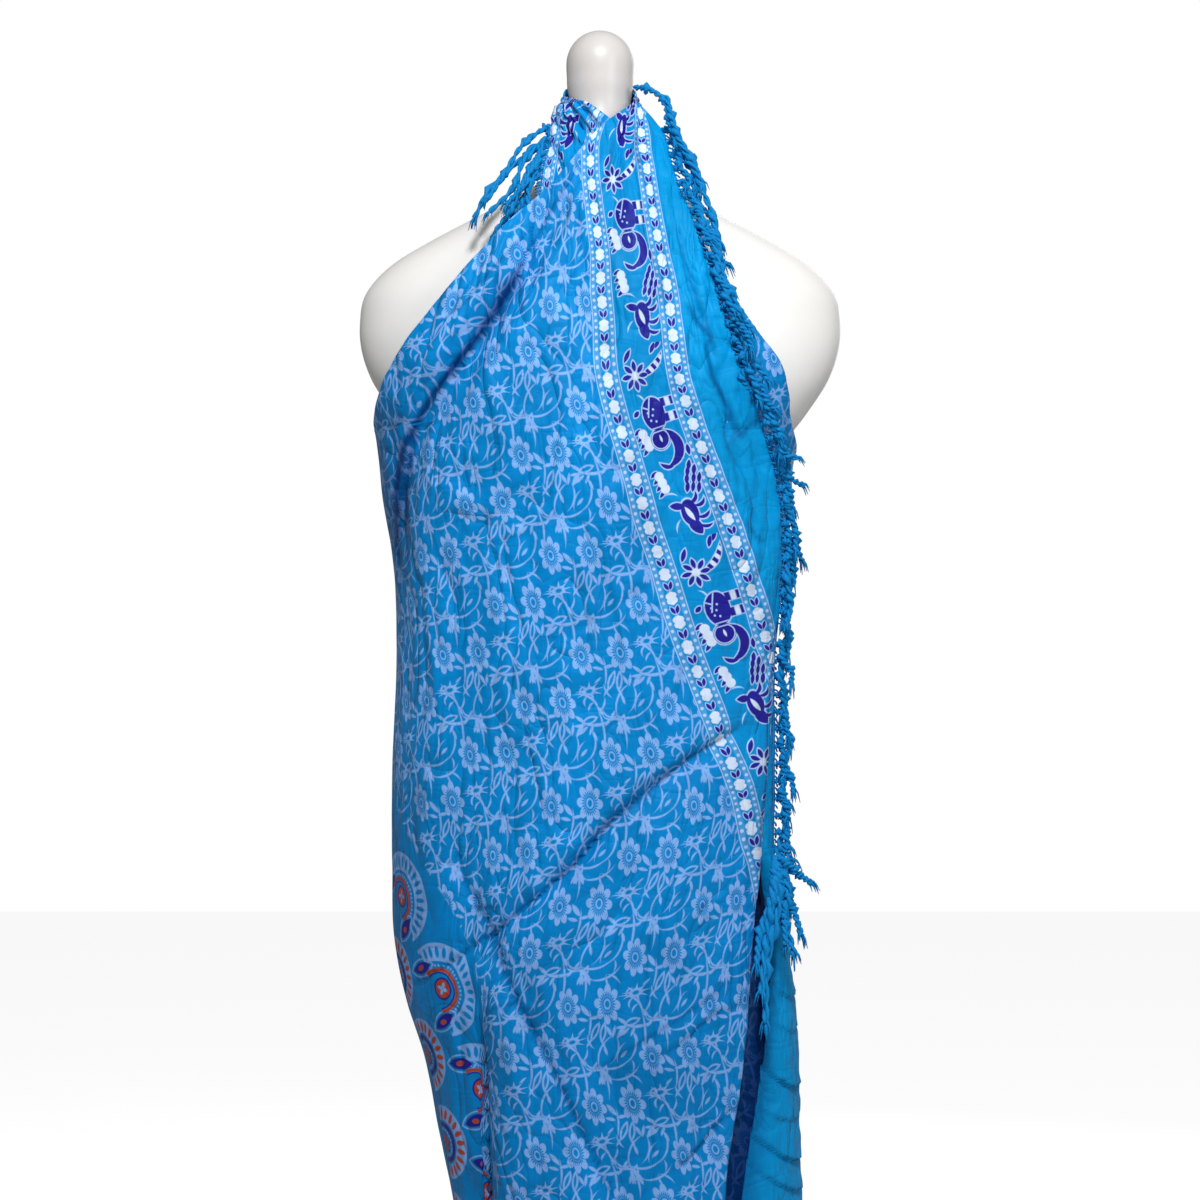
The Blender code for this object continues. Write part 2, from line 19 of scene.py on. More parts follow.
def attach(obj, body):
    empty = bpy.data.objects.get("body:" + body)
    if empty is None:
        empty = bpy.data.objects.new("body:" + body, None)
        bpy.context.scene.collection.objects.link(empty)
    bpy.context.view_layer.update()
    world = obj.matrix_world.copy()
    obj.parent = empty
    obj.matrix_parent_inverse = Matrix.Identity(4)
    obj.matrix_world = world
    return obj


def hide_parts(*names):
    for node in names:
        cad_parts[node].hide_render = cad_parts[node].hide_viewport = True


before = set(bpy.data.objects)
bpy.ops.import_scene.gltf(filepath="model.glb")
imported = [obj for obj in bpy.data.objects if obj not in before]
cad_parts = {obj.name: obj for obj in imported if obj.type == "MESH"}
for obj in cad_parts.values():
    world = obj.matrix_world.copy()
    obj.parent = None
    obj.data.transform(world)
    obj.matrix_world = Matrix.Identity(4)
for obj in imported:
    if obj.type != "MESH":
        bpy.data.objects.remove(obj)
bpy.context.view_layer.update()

MM = 0.001
BODY = "root"

# The camera's lens and sensor in millimetres, and the width that the photo spans at the form, in metres.
LENS = 85
SENSOR = 36
FRAME_WIDTH = 1.08

# The layers, in millimetres out from the outer wrap.
WALL = 1.1
UNDER_LAYER = -7.0
STRIP_LAYER = -2.4
CLOTH_BULGE = 2.2

# Heights in millimetres.
STRAP_FOOT = 1508.0
ARM_LEFT = 1212.0
ARM_RIGHT = 1192.0
BACK_TOP = 1182.0
SLANT_START = 600.0
HEM_LOW = 100.0
HEM_HIGH = 440.0
HEM_BACK = 88.0
CLOTH_TOP = 1580.0

# How finely the shells are cut: points across, and rows down their stretches.
FRONT_COLUMNS = 126
FRONT_ROWS = (90, 172, 74)
UNDER_COLUMNS = 84
UNDER_ROWS = (60, 90, 60)
BACK_COLUMNS = 96
BACK_ROWS = 190
STRIP_COLUMNS = 26
STRIP_ROWS = 259
BAND_ROWS = 12
FORM_SIDES = 128

# The fringe: how far apart its tassels hang, and how finely each is made.
TASSEL_PITCH = 15.5
INNER_PITCH = 9.0
TASSEL_STEPS = 26
TASSEL_HAIRS = 9

# The knot behind the neck: half its width, its middle and its radii, in depth and height.
KNOT_HALF = 20.5
KNOT_Y, KNOT_Z = 39.9, 1522
KNOT_DEPTH, KNOT_HIGH = 10.6, 15.6

Envelope = namedtuple("Envelope", "height left right front back")
ENVELOPE = [
    Envelope(1530, 40, 40, 38, 38),
    Envelope(1508, 44, 46, 42, 40),
    Envelope(1478, 66, 76, 56, 50),
    Envelope(1440, 104, 112, 76, 62),
    Envelope(1400, 158, 156, 94, 74),
    Envelope(1360, 206, 200, 108, 86),
    Envelope(1310, 236, 232, 118, 98),
    Envelope(1260, 228, 226, 124, 104),
    Envelope(1235, 216, 211, 126, 106),
    Envelope(1210, 207, 196, 128, 107),
    Envelope(1190, 204, 187, 129, 107),
    Envelope(1150, 200, 183, 129, 105),
    Envelope(1090, 190, 179, 126, 102),
    Envelope(1010, 187, 167, 124, 103),
    Envelope(900, 191, 166, 124, 114),
    Envelope(812, 191, 167, 124, 120),
    Envelope(745, 189, 176, 124, 119),
    Envelope(690, 178, 182, 123, 117),
    Envelope(640, 162, 186, 121, 114),
    Envelope(570, 148, 187, 118, 110),
    Envelope(512, 136, 189, 115, 107),
    Envelope(300, 112, 184, 108, 100),
    Envelope(80, 100, 180, 102, 95),
]

Form = namedtuple("Form", "height width front back")
FORM = [
    Form(1547, 30, 30, 30),
    Form(1532, 30.5, 30.5, 30.5),
    Form(1512, 28.5, 29, 28.5),
    Form(1490, 30, 32, 30),
    Form(1465, 37, 39, 38),
    Form(1440, 56, 50, 47),
    Form(1415, 100, 60, 55),
    Form(1390, 148, 70, 64),
    Form(1365, 190, 80, 72),
    Form(1340, 214, 88, 78),
    Form(1310, 221, 95, 84),
    Form(1260, 211, 104, 90),
    Form(1227, 190, 109, 92),
    Form(1197, 168, 112, 92),
    Form(1150, 160, 110, 88),
    Form(1090, 143, 100, 84),
    Form(1020, 133, 92, 84),
    Form(960, 137, 92, 92),
    Form(900, 143, 96, 102),
    Form(850, 147, 98, 106),
    Form(800, 145, 94, 100),
    Form(770, 138, 88, 94),
    Form(750, 126, 80, 86),
]

Edge = namedtuple("Edge", "height inner outer")
OUTER_EDGES = [
    Edge(1508, 30, 36),
    Edge(1492, 10, 50),
    Edge(1478, -5, 58),
    Edge(1452, -25, 64),
    Edge(1427, -45, 72),
    Edge(1413, -61, 77),
    Edge(1376, -97, 89),
    Edge(1328, -139, 104),
    Edge(1270, -184, 123),
    Edge(1234, -202, 137),
    Edge(1212, -207, 144),
    Edge(1189, -204, 151),
    Edge(1128, -197, 163),
    Edge(1056, -187, 162),
    Edge(1020, -187, 161),
    Edge(975, -189, 161),
    Edge(927, -190, 157),
    Edge(862, -191, 151),
    Edge(822, -191, 148),
    Edge(768, -190, 141),
    Edge(696, -180, 136),
    Edge(616, -157, 127),
    Edge(547, -143, 116),
    Edge(516, -137, 114),
    Edge(300, -112, 100),
    Edge(80, -100, 92),
]
INNER_EDGES = [
    Edge(1520, -34, -27),
    Edge(1506, -43, -9),
    Edge(1492, -49, 10),
    Edge(1478, -51, 21),
    Edge(1427, -57, 57),
    Edge(1376, -61, 94),
    Edge(1361, -62, 104),
    Edge(1328, -66, 122),
    Edge(1293, -71, 146),
    Edge(1270, -75, 165),
    Edge(1245, -78, 174),
    Edge(1218, -82, 178),
    Edge(1192, -85, 188),
    Edge(1000, -90, 166),
    Edge(600, -100, 187),
    Edge(300, -90, 184),
    Edge(80, -80, 180),
]
STRIP_EDGES = [
    Edge(1020, 146, 160),
    Edge(975, 147, 161),
    Edge(927, 142, 161),
    Edge(862, 144, 161),
    Edge(822, 150, 161),
    Edge(778, 157, 168),
    Edge(745, 160, 173),
    Edge(696, 159, 180),
    Edge(632, 151, 184),
    Edge(576, 141, 185),
    Edge(516, 131, 187),
    Edge(455, 122, 186),
]

Band = namedtuple("Band", "height upper_radius upper_height lower_radius lower_height")
NECK_BAND = [
    Band(-18, 34.0, 1518, 43.0, 1498),
    Band(10, 32.7, 1527, 38.5, 1503),
    Band(40, 32.6, 1531, 35.5, 1508),
    Band(68, 32.6, 1532, 33.6, 1511),
]

# Where the border's two bead chains and the plain strip run down the front.
Border = namedtuple("Border", "height left_chain right_chain")
BORDER = [
    Border(1508, 8, 36),
    Border(1468, -8, 38),
    Border(1448, -9, 41),
    Border(1408, -5.5, 46),
    Border(1360, 0, 54),
    Border(1328, 1, 60),
    Border(1306, 3, 62.5),
    Border(1255, 6, 69),
    Border(1217, 15, 80),
    Border(1189, 23.5, 90),
    Border(1153, 34, 103.5),
    Border(1128, 40.5, 113),
    Border(1087, 55, 127),
    Border(1053, 65, 138.6),
    Border(1015, 77, 151),
    Border(981, 90.5, 164),
    Border(922, 113, 188),
    Border(884, 127, 203),
    Border(843, 137, 214),
    Border(819, 144, 222),
    Border(700, 168, 248),
    Border(80, 290, 370),
]

# Soft folds on the front, as routes in the plane of the front, with depth (in is less than nothing).
Fold = namedtuple("Fold", "depth width route")
FRONT_FOLDS = [
    Fold(-9, 15, ((-52, 1402), (-97, 1320), (-148, 1249), (-178, 1190), (-183, 1120))),
    Fold(6, 14, ((-70, 1400), (-128, 1305), (-176, 1235))),
    Fold(-6, 12, ((-40, 1415), (-70, 1340), (-118, 1260), (-160, 1175))),
    Fold(-6, 12, ((4, 1470), (-12, 1400), (-30, 1330))),
    Fold(4, 14, ((24, 1480), (30, 1400), (44, 1300))),
    Fold(-5, 12, ((-135, 732), (-22, 826), (36, 885), (130, 943))),
    Fold(-5, 16, ((-131, 849), (-103, 774), (-80, 716), (-45, 650), (6, 543))),
    Fold(-9, 14, ((-112, 700), (-110, 600), (-108, 480), (-100, 300), (-92, 100))),
    Fold(6, 22, ((-84, 690), (-78, 500), (-70, 300), (-62, 100))),
    Fold(-7, 20, ((20, 620), (10, 460), (0, 300), (-8, 100))),
    Fold(7, 24, ((62, 640), (54, 480), (44, 300), (36, 150))),
    Fold(-5, 16, ((104, 700), (96, 560), (84, 420), (76, 300))),
    Fold(-4, 18, ((60, 1230), (66, 1140), (60, 1050))),
    Fold(-4, 20, ((-60, 1180), (-72, 1080), (-70, 980))),
    Fold(4, 20, ((-150, 1090), (-152, 950), (-150, 800))),
    Fold(-4, 12, ((108, 1300), (126, 1230), (140, 1150))),
]
# Finer, sharper creases that only the shells have.
FRONT_CREASES = [
    Fold(-4.6, 4.0, ((-134, 735), (-80, 776), (-22, 826), (8, 862), (36, 885), (80, 918), (130, 944))),
    Fold(3.0, 5.0, ((-120, 752), (-22, 838), (36, 897), (120, 950))),
    Fold(-3.4, 4.0, ((-131, 849), (-122, 810), (-103, 774), (-80, 716), (-45, 650), (6, 543))),
    Fold(-4.9, 3.0, ((-110, 678), (-109, 600), (-109, 500))),
    Fold(-5.7, 5.0, ((-46, 1424), (-73, 1341), (-97, 1314), (-120, 1280))),
    Fold(-4.9, 4.0, ((-120, 1280), (-148, 1249), (-170, 1206), (-178, 1150))),
    Fold(4.9, 5.0, ((-62, 1400), (-100, 1332), (-150, 1262), (-186, 1212))),
    Fold(-4.6, 4.0, ((-90, 1374), (-140, 1300), (-184, 1240))),
    Fold(-3.8, 4.0, ((-24, 1440), (-40, 1390), (-66, 1330), (-108, 1262))),
    Fold(-4.2, 4.0, ((0, 1478), (-22, 1430), (-40, 1366))),
    Fold(3.8, 5.0, ((10, 1480), (-8, 1420), (-20, 1350))),
    Fold(-4.2, 4.0, ((22, 1488), (14, 1430), (10, 1360))),
    Fold(-3.8, 4.0, ((36, 1488), (36, 1440), (44, 1370), (60, 1290))),
    Fold(-3.0, 4.0, ((50, 1470), (58, 1410), (70, 1330), (88, 1260))),
    Fold(-4.2, 5.0, ((66, 1400), (84, 1320), (112, 1240), (120, 1190))),
    Fold(-3.0, 3.5, ((-131, 720), (-124, 655), (-128, 590))),
    Fold(-2.5, 4.0, ((-150, 1110), (-120, 1030), (-128, 960))),
    Fold(-2.3, 3.5, ((-20, 1240), (-12, 1180), (-30, 1110))),
    Fold(-2.3, 3.5, ((20, 1330), (8, 1270), (18, 1200))),
    Fold(-2.7, 4.0, ((-60, 1010), (0, 1040), (60, 1078))),
    Fold(-2.3, 4.0, ((-90, 920), (-20, 955), (40, 990))),
    Fold(-2.7, 4.0, ((30, 760), (70, 720), (96, 660))),
    Fold(-2.3, 4.0, ((-20, 700), (10, 650), (20, 580))),
    Fold(-3.0, 4.0, ((92, 596), (104, 588), (124, 612))),
    Fold(-2.3, 3.0, ((-60, 600), (-52, 540), (-58, 480))),
    Fold(-3.0, 4.0, ((94, 1330), (104, 1290), (118, 1272))),
    Fold(-3.4, 4.0, ((100, 1262), (118, 1228), (116, 1190), (132, 1150))),
    Fold(-2.7, 3.5, ((108, 1214), (124, 1206), (140, 1216))),
    Fold(3.4, 4.0, ((110, 1250), (128, 1210), (138, 1168))),
    Fold(-2.7, 3.5, ((118, 1170), (132, 1182), (146, 1176))),
    Fold(-3.0, 3.5, ((120, 1150), (136, 1130), (150, 1098))),
]
# Pocket folds, where the cloth is doubled and painted shade darkens it: depth of painted shade, half width
# and the way.
FRONT_POCKETS = [
    Fold(0.97, 6.6, ((-68, 1356), (-78, 1338), (-92, 1312), (-113, 1284), (-141, 1249))),
    Fold(0.95, 4.2, ((-100, 1300), (-122, 1273), (-141, 1249), (-164, 1216), (-178, 1186))),
    Fold(0.92, 4.4, ((-158, 1226), (-176, 1197), (-183, 1160), (-184, 1110), (-181, 1060))),
    Fold(0.85, 3.2, ((-150, 1238), (-166, 1206), (-173, 1170), (-175, 1120), (-172, 1080))),
    Fold(0.66, 2.6, ((132, 947), (80, 917), (36, 883), (8, 860), (-22, 824), (-80, 774), (-134, 733),
                     (-174, 706))),
    Fold(0.62, 2.4, ((20, 516), (7, 541), (-44, 648), (-79, 714), (-102, 772), (-122, 810), (-132, 852))),
    Fold(0.45, 1.8, ((-120, 780), (-104, 786), (-72, 782))),
    Fold(0.40, 1.8, ((-110, 690), (-80, 700), (-40, 690))),
    Fold(0.40, 2.0, ((-10, 640), (30, 664), (90, 700), (126, 728))),
    Fold(0.42, 2.0, ((-60, 1388), (-96, 1348), (-120, 1318), (-150, 1296))),
    Fold(0.36, 1.6, ((-40, 1412), (-62, 1370), (-74, 1340))),
    Fold(0.34, 1.6, ((126, 610), (104, 588), (80, 564), (62, 554))),
    Fold(0.32, 1.6, ((-118, 1100), (-90, 1140), (-50, 1180))),
    Fold(0.30, 1.5, ((128, 698), (100, 688), (66, 662))),
    Fold(0.62, 3.0, ((76, 1320), (85, 1302), (98, 1288), (92, 1276))),
    Fold(0.70, 3.0, ((92, 1284), (99, 1252), (112, 1228), (128, 1198))),
    Fold(0.66, 2.8, ((154, 1226), (131, 1209), (121, 1201), (110, 1188))),
    Fold(0.55, 2.4, ((108, 1224), (115, 1214), (121, 1203))),
    Fold(0.45, 2.2, ((126, 1130), (140, 1112), (152, 1104))),
    Fold(0.34, 3.4, ((66, 1392), (80, 1336), (98, 1290), (104, 1262))),
    Fold(0.34, 2.6, ((140, 1180), (134, 1140), (138, 1092))),
    Fold(0.40, 2.0, ((12, 1476), (8, 1440), (-8, 1400))),
    Fold(0.36, 2.0, ((30, 1490), (34, 1450), (44, 1410))),
    Fold(0.38, 2.2, ((-18, 1454), (-40, 1410), (-60, 1366))),
]
# The same on the inner end, where it is gathered up to the neck.
UNDER_POCKETS = [
    Fold(0.92, 1.9, ((4, 1482), (-8, 1496), (-16, 1507), (-24, 1520))),
    Fold(0.92, 1.9, ((-3, 1474), (-14, 1489), (-23, 1501), (-32, 1516))),
    Fold(0.75, 1.6, ((-14, 1464), (-26, 1480), (-36, 1495), (-42, 1508))),
    Fold(0.70, 1.6, ((-30, 1440), (-38, 1462), (-45, 1482), (-48, 1500))),
    Fold(0.60, 1.5, ((-52, 1424), (-53, 1450), (-50, 1478))),
]
# Scalloped folds of the plain strip: height at its inner edge and at its outer edge, and depth.
Scallop = namedtuple("Scallop", "inner outer depth")
STRIP_FOLDS = [
    Scallop(752, 744, 2.2),
    Scallop(712, 700, 3.0),
    Scallop(680, 671, 2.0),
    Scallop(640, 616, 5.0),
    Scallop(604, 590, 2.4),
    Scallop(580, 548, 4.6),
    Scallop(556, 520, 3.4),
    Scallop(520, 484, 4.0),
    Scallop(488, 462, 2.6),
]
# Tucks: seen from the front, the cloth drops to a sharp trough left of each way as it runs, and stands
# up in a low ridge right of it.
FRONT_TUCKS = [
    Fold(5.0, 13, ((-60, 1392), (-76, 1341), (-94, 1312), (-120, 1275), (-141, 1249), (-157, 1225),
                   (-172, 1200))),
    Fold(3.0, 10, ((-168, 1212), (-179, 1186), (-184, 1150), (-185, 1107), (-180, 1050))),
    Fold(3.6, 13, ((130, 946), (80, 918), (36, 885), (8, 862), (-22, 826), (-80, 776), (-134, 735),
                   (-172, 708))),
    Fold(2.4, 10, ((6, 543), (-45, 650), (-80, 716), (-103, 774), (-122, 810), (-131, 849))),
    Fold(5.5, 9, ((-112, 702), (-110, 640), (-109, 520), (-103, 330), (-95, 120))),
    Fold(2.6, 9, ((126, 612), (104, 590), (80, 566), (64, 556))),
    Fold(2.4, 8, ((128, 700), (100, 690), (66, 664), (40, 650))),
    Fold(2.2, 8, ((30, 800), (4, 776), (-30, 740))),
    Fold(2.0, 9, ((-20, 1150), (-60, 1118), (-110, 1100))),
    Fold(1.2, 8, ((84, 1360), (94, 1330), (104, 1290), (122, 1268))),
    Fold(1.3, 8, ((98, 1268), (110, 1236), (114, 1196), (130, 1152))),
    Fold(1.1, 7, ((144, 1222), (124, 1206), (104, 1212))),
    Fold(1.1, 7, ((150, 1176), (134, 1180), (116, 1168))),
    Fold(2.0, 9, ((62, 1452), (66, 1400), (76, 1340), (92, 1290))),
    Fold(2.6, 6, ((28, 1502), (18, 1470), (14, 1424))),
    Fold(2.4, 6, ((38, 1498), (44, 1446), (50, 1400))),
    Fold(2.2, 7, ((-4, 1478), (-30, 1426), (-56, 1380))),
]
UNDER_TUCKS = [
    Fold(4.0, 5, ((2, 1474), (-20, 1490), (-36, 1505))),
    Fold(4.0, 5, ((-10, 1462), (-30, 1484), (-44, 1500))),
    Fold(3.2, 5, ((-30, 1440), (-42, 1466), (-49, 1490))),
    Fold(2.8, 5, ((-58, 1410), (-54, 1450), (-51, 1482))),
    Fold(3.0, 8, ((136, 1240), (146, 1180), (152, 1120))),
]
# Long soft falls at the back: place round the form in degrees from the left side, depth, width, top.
Fall = namedtuple("Fall", "place depth width top")
BACK_FALLS = [
    Fall(24, -7, 7, 1120),
    Fall(43, 6, 8, 1010),
    Fall(62, -8, 7, 1150),
    Fall(80, 5, 9, 900),
    Fall(97, -6, 7, 1080),
    Fall(118, 7, 9, 960),
    Fall(137, -8, 8, 1140),
    Fall(158, 5, 7, 880),
]
FALL_GROWTH = 500.0


def eased(table, name, where):
    """A column of a table read at an array of heights, eased between rows by a cubic."""
    rows = sorted(table, key=lambda row: row.height)
    heights = np.array([row.height for row in rows], float)
    values = np.array([getattr(row, name) for row in rows], float)
    slopes = np.gradient(values, heights)
    where = np.clip(np.asarray(where, float), heights[0], heights[-1])
    i = np.clip(np.searchsorted(heights, where, side="right") - 1, 0, len(heights) - 2)
    span = heights[i + 1] - heights[i]
    t = (where - heights[i]) / span
    start = (2 * t**3 - 3 * t**2 + 1) * values[i] + (t**3 - 2 * t**2 + t) * span * slopes[i]
    end = (-2 * t**3 + 3 * t**2) * values[i + 1] + (t**3 - t**2) * span * slopes[i + 1]
    return start + end


def near_line(route, x, z):
    """How far places are from a way, how far along it (0 to 1) they are nearest, and on which side."""
    gap = np.full_like(x, np.inf)
    along = np.zeros_like(x)
    side = np.ones_like(x)
    pieces = len(route) - 1
    for i, ((x0, z0), (x1, z1)) in enumerate(zip(route, route[1:])):
        run_x, run_z = x1 - x0, z1 - z0
        t = np.clip(((x - x0) * run_x + (z - z0) * run_z) / (run_x**2 + run_z**2), 0, 1)
        far = np.hypot(x - x0 - t * run_x, z - z0 - t * run_z)
        nearer = far < gap
        gap = np.where(nearer, far, gap)
        along = np.where(nearer, (i + t) / pieces, along)
        side = np.where(nearer, np.sign(run_x * (z - z0) - run_z * (x - x0)), side)
    return gap, along, side


def folded(folds, x, z, sharp=False):
    """How far a list of folds moves the cloth out at arrays of places, in millimetres."""
    relief = np.zeros_like(x)
    for fold in folds:
        gap, along, _ = near_line(fold.route, x, z)
        if sharp:
            shape = np.exp(-gap / fold.width)
        else:
            shape = np.exp(-((gap / fold.width) ** 2))
            along = np.clip(along, 0.08, 0.92)
        relief += fold.depth * np.sqrt(np.maximum(np.sin(np.pi * along), 0)) * shape
    return relief


def tucked(tucks, x, z):
    """How far a list of tucks moves the cloth at arrays of places, in millimetres."""
    relief = np.zeros_like(x)
    for tuck in tucks:
        gap, along, side = near_line(tuck.route, x, z)
        swell = np.sqrt(np.maximum(np.sin(np.pi * along), 0))
        ridge = 0.45 * np.exp(-gap / (tuck.width * 1.5))
        trough = -np.exp(-gap / tuck.width)
        relief += tuck.depth * swell * np.where(side > 0, trough, ridge)
    return relief


def on_envelope(z, angle, out):
    """Points of the cloth at heights and angles, in millimetres. Front is minus a quarter turn."""
    cosine, sine = np.cos(angle), np.sin(angle)
    half_width = np.where(cosine < 0, eased(ENVELOPE, "left", z), eased(ENVELOPE, "right", z)) + out
    half_depth = np.where(sine < 0, eased(ENVELOPE, "front", z), eased(ENVELOPE, "back", z)) + out
    power = 2 / CLOTH_BULGE
    x = np.sign(cosine) * np.abs(cosine) ** power * half_width
    y = np.sign(sine) * np.abs(sine) ** power * half_depth
    return np.stack([x, y, np.broadcast_to(z, x.shape)], axis=-1)


def angle_at(x, z):
    """The angle on the front of the envelope that lies at distances from the middle."""
    half_width = np.where(x < 0, eased(ENVELOPE, "left", z), eased(ENVELOPE, "right", z))
    share = np.clip(np.abs(x) / half_width, 0, 1) ** (CLOTH_BULGE / 2)
    return -np.arccos(np.sign(x) * share)


def crumple(points, seed, size, depth):
    """Small uneven puckers over a sheet of points, in millimetres."""
    flat = points.reshape(-1, 3)
    made = np.empty(len(flat))
    for i, (x, y, z) in enumerate(flat):
        spot = Vector((x / size + seed, y / size, z / (size * 1.7)))
        ridge = 1 - abs(noise.noise(spot)) * 2.2
        made[i] = ridge * 0.6 + noise.noise(spot * 2.3)
    return (made * depth).reshape(points.shape[:-1])


def slanted(z, share, rising):
    """Heights of rows below the slant's start, so that the rows end on a slanting hem."""
    hem = HEM_LOW + (HEM_HIGH - HEM_LOW) * (share if rising else 1 - share) ** 1.5
    low = SLANT_START - (SLANT_START - z) * (SLANT_START - hem) / (SLANT_START - HEM_LOW)
    return np.where(z >= SLANT_START, z, low)


def ramp(value, start, end):
    """A smooth step from 0 at start to 1 at end."""
    t = np.clip((value - start) / (end - start), 0, 1)
    return t * t * (3 - 2 * t)


def neck_rows(columns, side):
    """Rows of the gathered band round one side of the neck, from the knot to the front."""
    share = np.linspace(0, 1, columns + 1)
    turns = np.linspace(NECK_BAND[-1].height, NECK_BAND[0].height, BAND_ROWS + 1)[:, None]
    upper, lower = eased(NECK_BAND, "upper_radius", turns), eased(NECK_BAND, "lower_radius", turns)
    high, low = eased(NECK_BAND, "upper_height", turns), eased(NECK_BAND, "lower_height", turns)
    pleats = 1.5 * np.sin(share * math.pi * 9) * np.sin(share * math.pi)
    radius = upper + (lower - upper) * share + pleats
    angle = np.radians(turns)
    x, y = side * radius * np.cos(angle), radius * np.sin(angle)
    rows = np.stack([x, y, high + (low - high) * share], axis=-1)
    return rows if side > 0 else rows[:, ::-1]


def levels(rows, *heights):
    """Heights from the top down, through stretches of a number of rows each."""
    made = [heights[:1]]
    for count, top, bottom in zip(rows, heights, heights[1:]):
        made.append(np.linspace(top, bottom, count + 1)[1:])
    return np.concatenate(made)


def shares(columns):
    """How far across a stretch each of its columns is, from 0 to 1."""
    return np.linspace(0, 1, columns + 1)[None, :]


def angles_between(x_from, x_to, z, share):
    """Angles spread evenly over the front between two distances from its middle."""
    start, end = angle_at(x_from, z), angle_at(x_to, z)
    return start + (end - start) * share


def across_front(level, columns, edges, from_left, layer):
    """Heights, angles and points without folds, over the front from one side to a free edge."""
    share = shares(columns)
    z = slanted(level[:, None] + 0 * share, share, from_left)
    x_from, x_to = eased(edges, "inner", z), eased(edges, "outer", z)
    if from_left:
        x_from = np.where(level[:, None] <= ARM_LEFT, -eased(ENVELOPE, "left", z), x_from)
    else:
        x_to = np.where(level[:, None] <= ARM_RIGHT, eased(ENVELOPE, "right", z), x_to)
    angle = angles_between(x_from, x_to, z, share)
    return z, angle, on_envelope(z, angle, layer)


def calm_sides(angle):
    """A factor that stills the folds where the cloth turns round the side."""
    return np.minimum(1.0, np.abs(np.sin(angle)) * 2.5)


def build_front():
    """The outer end: band round the neck, then the whole front. Also the same without its folds."""
    level = levels(FRONT_ROWS, STRAP_FOOT, ARM_LEFT, SLANT_START, HEM_LOW)
    z, angle, flat = across_front(level, FRONT_COLUMNS, OUTER_EDGES, True, 0.0)
    x = flat[..., 0]
    relief = folded(FRONT_FOLDS, x, z) + folded(FRONT_CREASES, x, z, sharp=True)
    relief += tucked(FRONT_TUCKS, x, z)
    share = shares(FRONT_COLUMNS)
    relief += 1.7 * ramp(z, 1400, 1480) * np.sin(share**1.3 * math.pi * 7) * np.sin(share * math.pi)
    relief += crumple(flat, 3.0, 30.0, 1.0)
    chain = eased(BORDER, "right_chain", z)
    plain = ramp(x, chain + 6, chain + 18)
    relief += crumple(flat, 11.0, 13.0, 1.5) * plain * ramp(z, 1000, 1100)
    near_edge = np.clip(1 - (eased(OUTER_EDGES, "outer", z) - x) / 9.0, 0, 1)
    rolled = (1 - ramp(z, 975, 1035)) * 5.0 * (1 - np.sqrt(1 - near_edge**2 * 0.98))
    rows = on_envelope(z, angle, relief * calm_sides(angle) - rolled)
    band = neck_rows(FRONT_COLUMNS, 1)
    return np.concatenate([band, rows]), np.concatenate([band, flat])


def build_under():
    """The inner end: band round the left of the neck, then beneath the outer end."""
    level = levels(UNDER_ROWS, STRAP_FOOT, ARM_RIGHT, SLANT_START, HEM_LOW)
    z, angle, flat = across_front(level, UNDER_COLUMNS, INNER_EDGES, False, UNDER_LAYER)
    x = flat[..., 0]
    relief = folded(FRONT_FOLDS, x, z) + tucked(UNDER_TUCKS, x, z)
    share = shares(UNDER_COLUMNS)
    pleat = np.abs(np.sin(share * math.pi * 5 + 0.4)) ** 0.6
    relief += ramp(z, 1380, 1440) * 4.2 * (pleat - 0.6) * np.sin(share * math.pi) ** 0.5
    relief += crumple(flat, 21.0, 16.0, 0.7) * (ramp(x, 118, 150) * ramp(z, 980, 1060))
    gap = eased(OUTER_EDGES, "outer", z) + 10
    relief -= 18 * np.exp(-(((x - gap) / 17) ** 2)) * (1 - ramp(z, 860, 1000))
    relief -= 5.5 * (1 - ramp(z, 975, 1035)) * ramp(x, 90, 120)
    layer = UNDER_LAYER * (1 - np.clip((z - 1478) / 30, 0, 1))
    rows = on_envelope(z, angle, layer + relief * calm_sides(angle))
    band = neck_rows(UNDER_COLUMNS, -1)
    return np.concatenate([band, rows]), np.concatenate([band, flat])


def overlaid(*shades):
    """Several depths of shade laid over each other."""
    light = 1.0
    for shade in shades:
        light = light * (1 - shade)
    return 1 - light


def pockets(table, x, z):
    """How deep the painted shade is at places inside a list of pocket folds."""
    shade = np.zeros_like(x)
    for pocket in table:
        gap, along, _ = near_line(pocket.route, x, z)
        swell = np.sin(math.pi * np.clip(along, 0, 1) ** 0.8)
        dark = pocket.depth * np.exp(-((gap / (pocket.width * (0.25 + 0.75 * swell))) ** 2)) * swell**0.4
        shade = overlaid(shade, dark)
    return shade


def front_shade(points):
    """How deep the painted shade on the front is: inside its pocket folds, on its left side and low down."""
    x, z = points[..., 0], points[..., 2]
    # Painted shade on the left side, and over the lower part of the front.
    side = 0.34 * np.exp(-(((x + 190) / 26) ** 2) - ((z - 1140) / 90) ** 2)
    low = 0.16 * (1 - ramp(z, 640, 1000))
    return overlaid(pockets(FRONT_POCKETS, x, z), side, low)


def scallop(fold, share):
    """The heights of a scalloped fold of the strip, at shares of the way across it."""
    return fold.inner + (fold.outer - fold.inner) * share**0.8 - 9 * np.sin(math.pi * share)


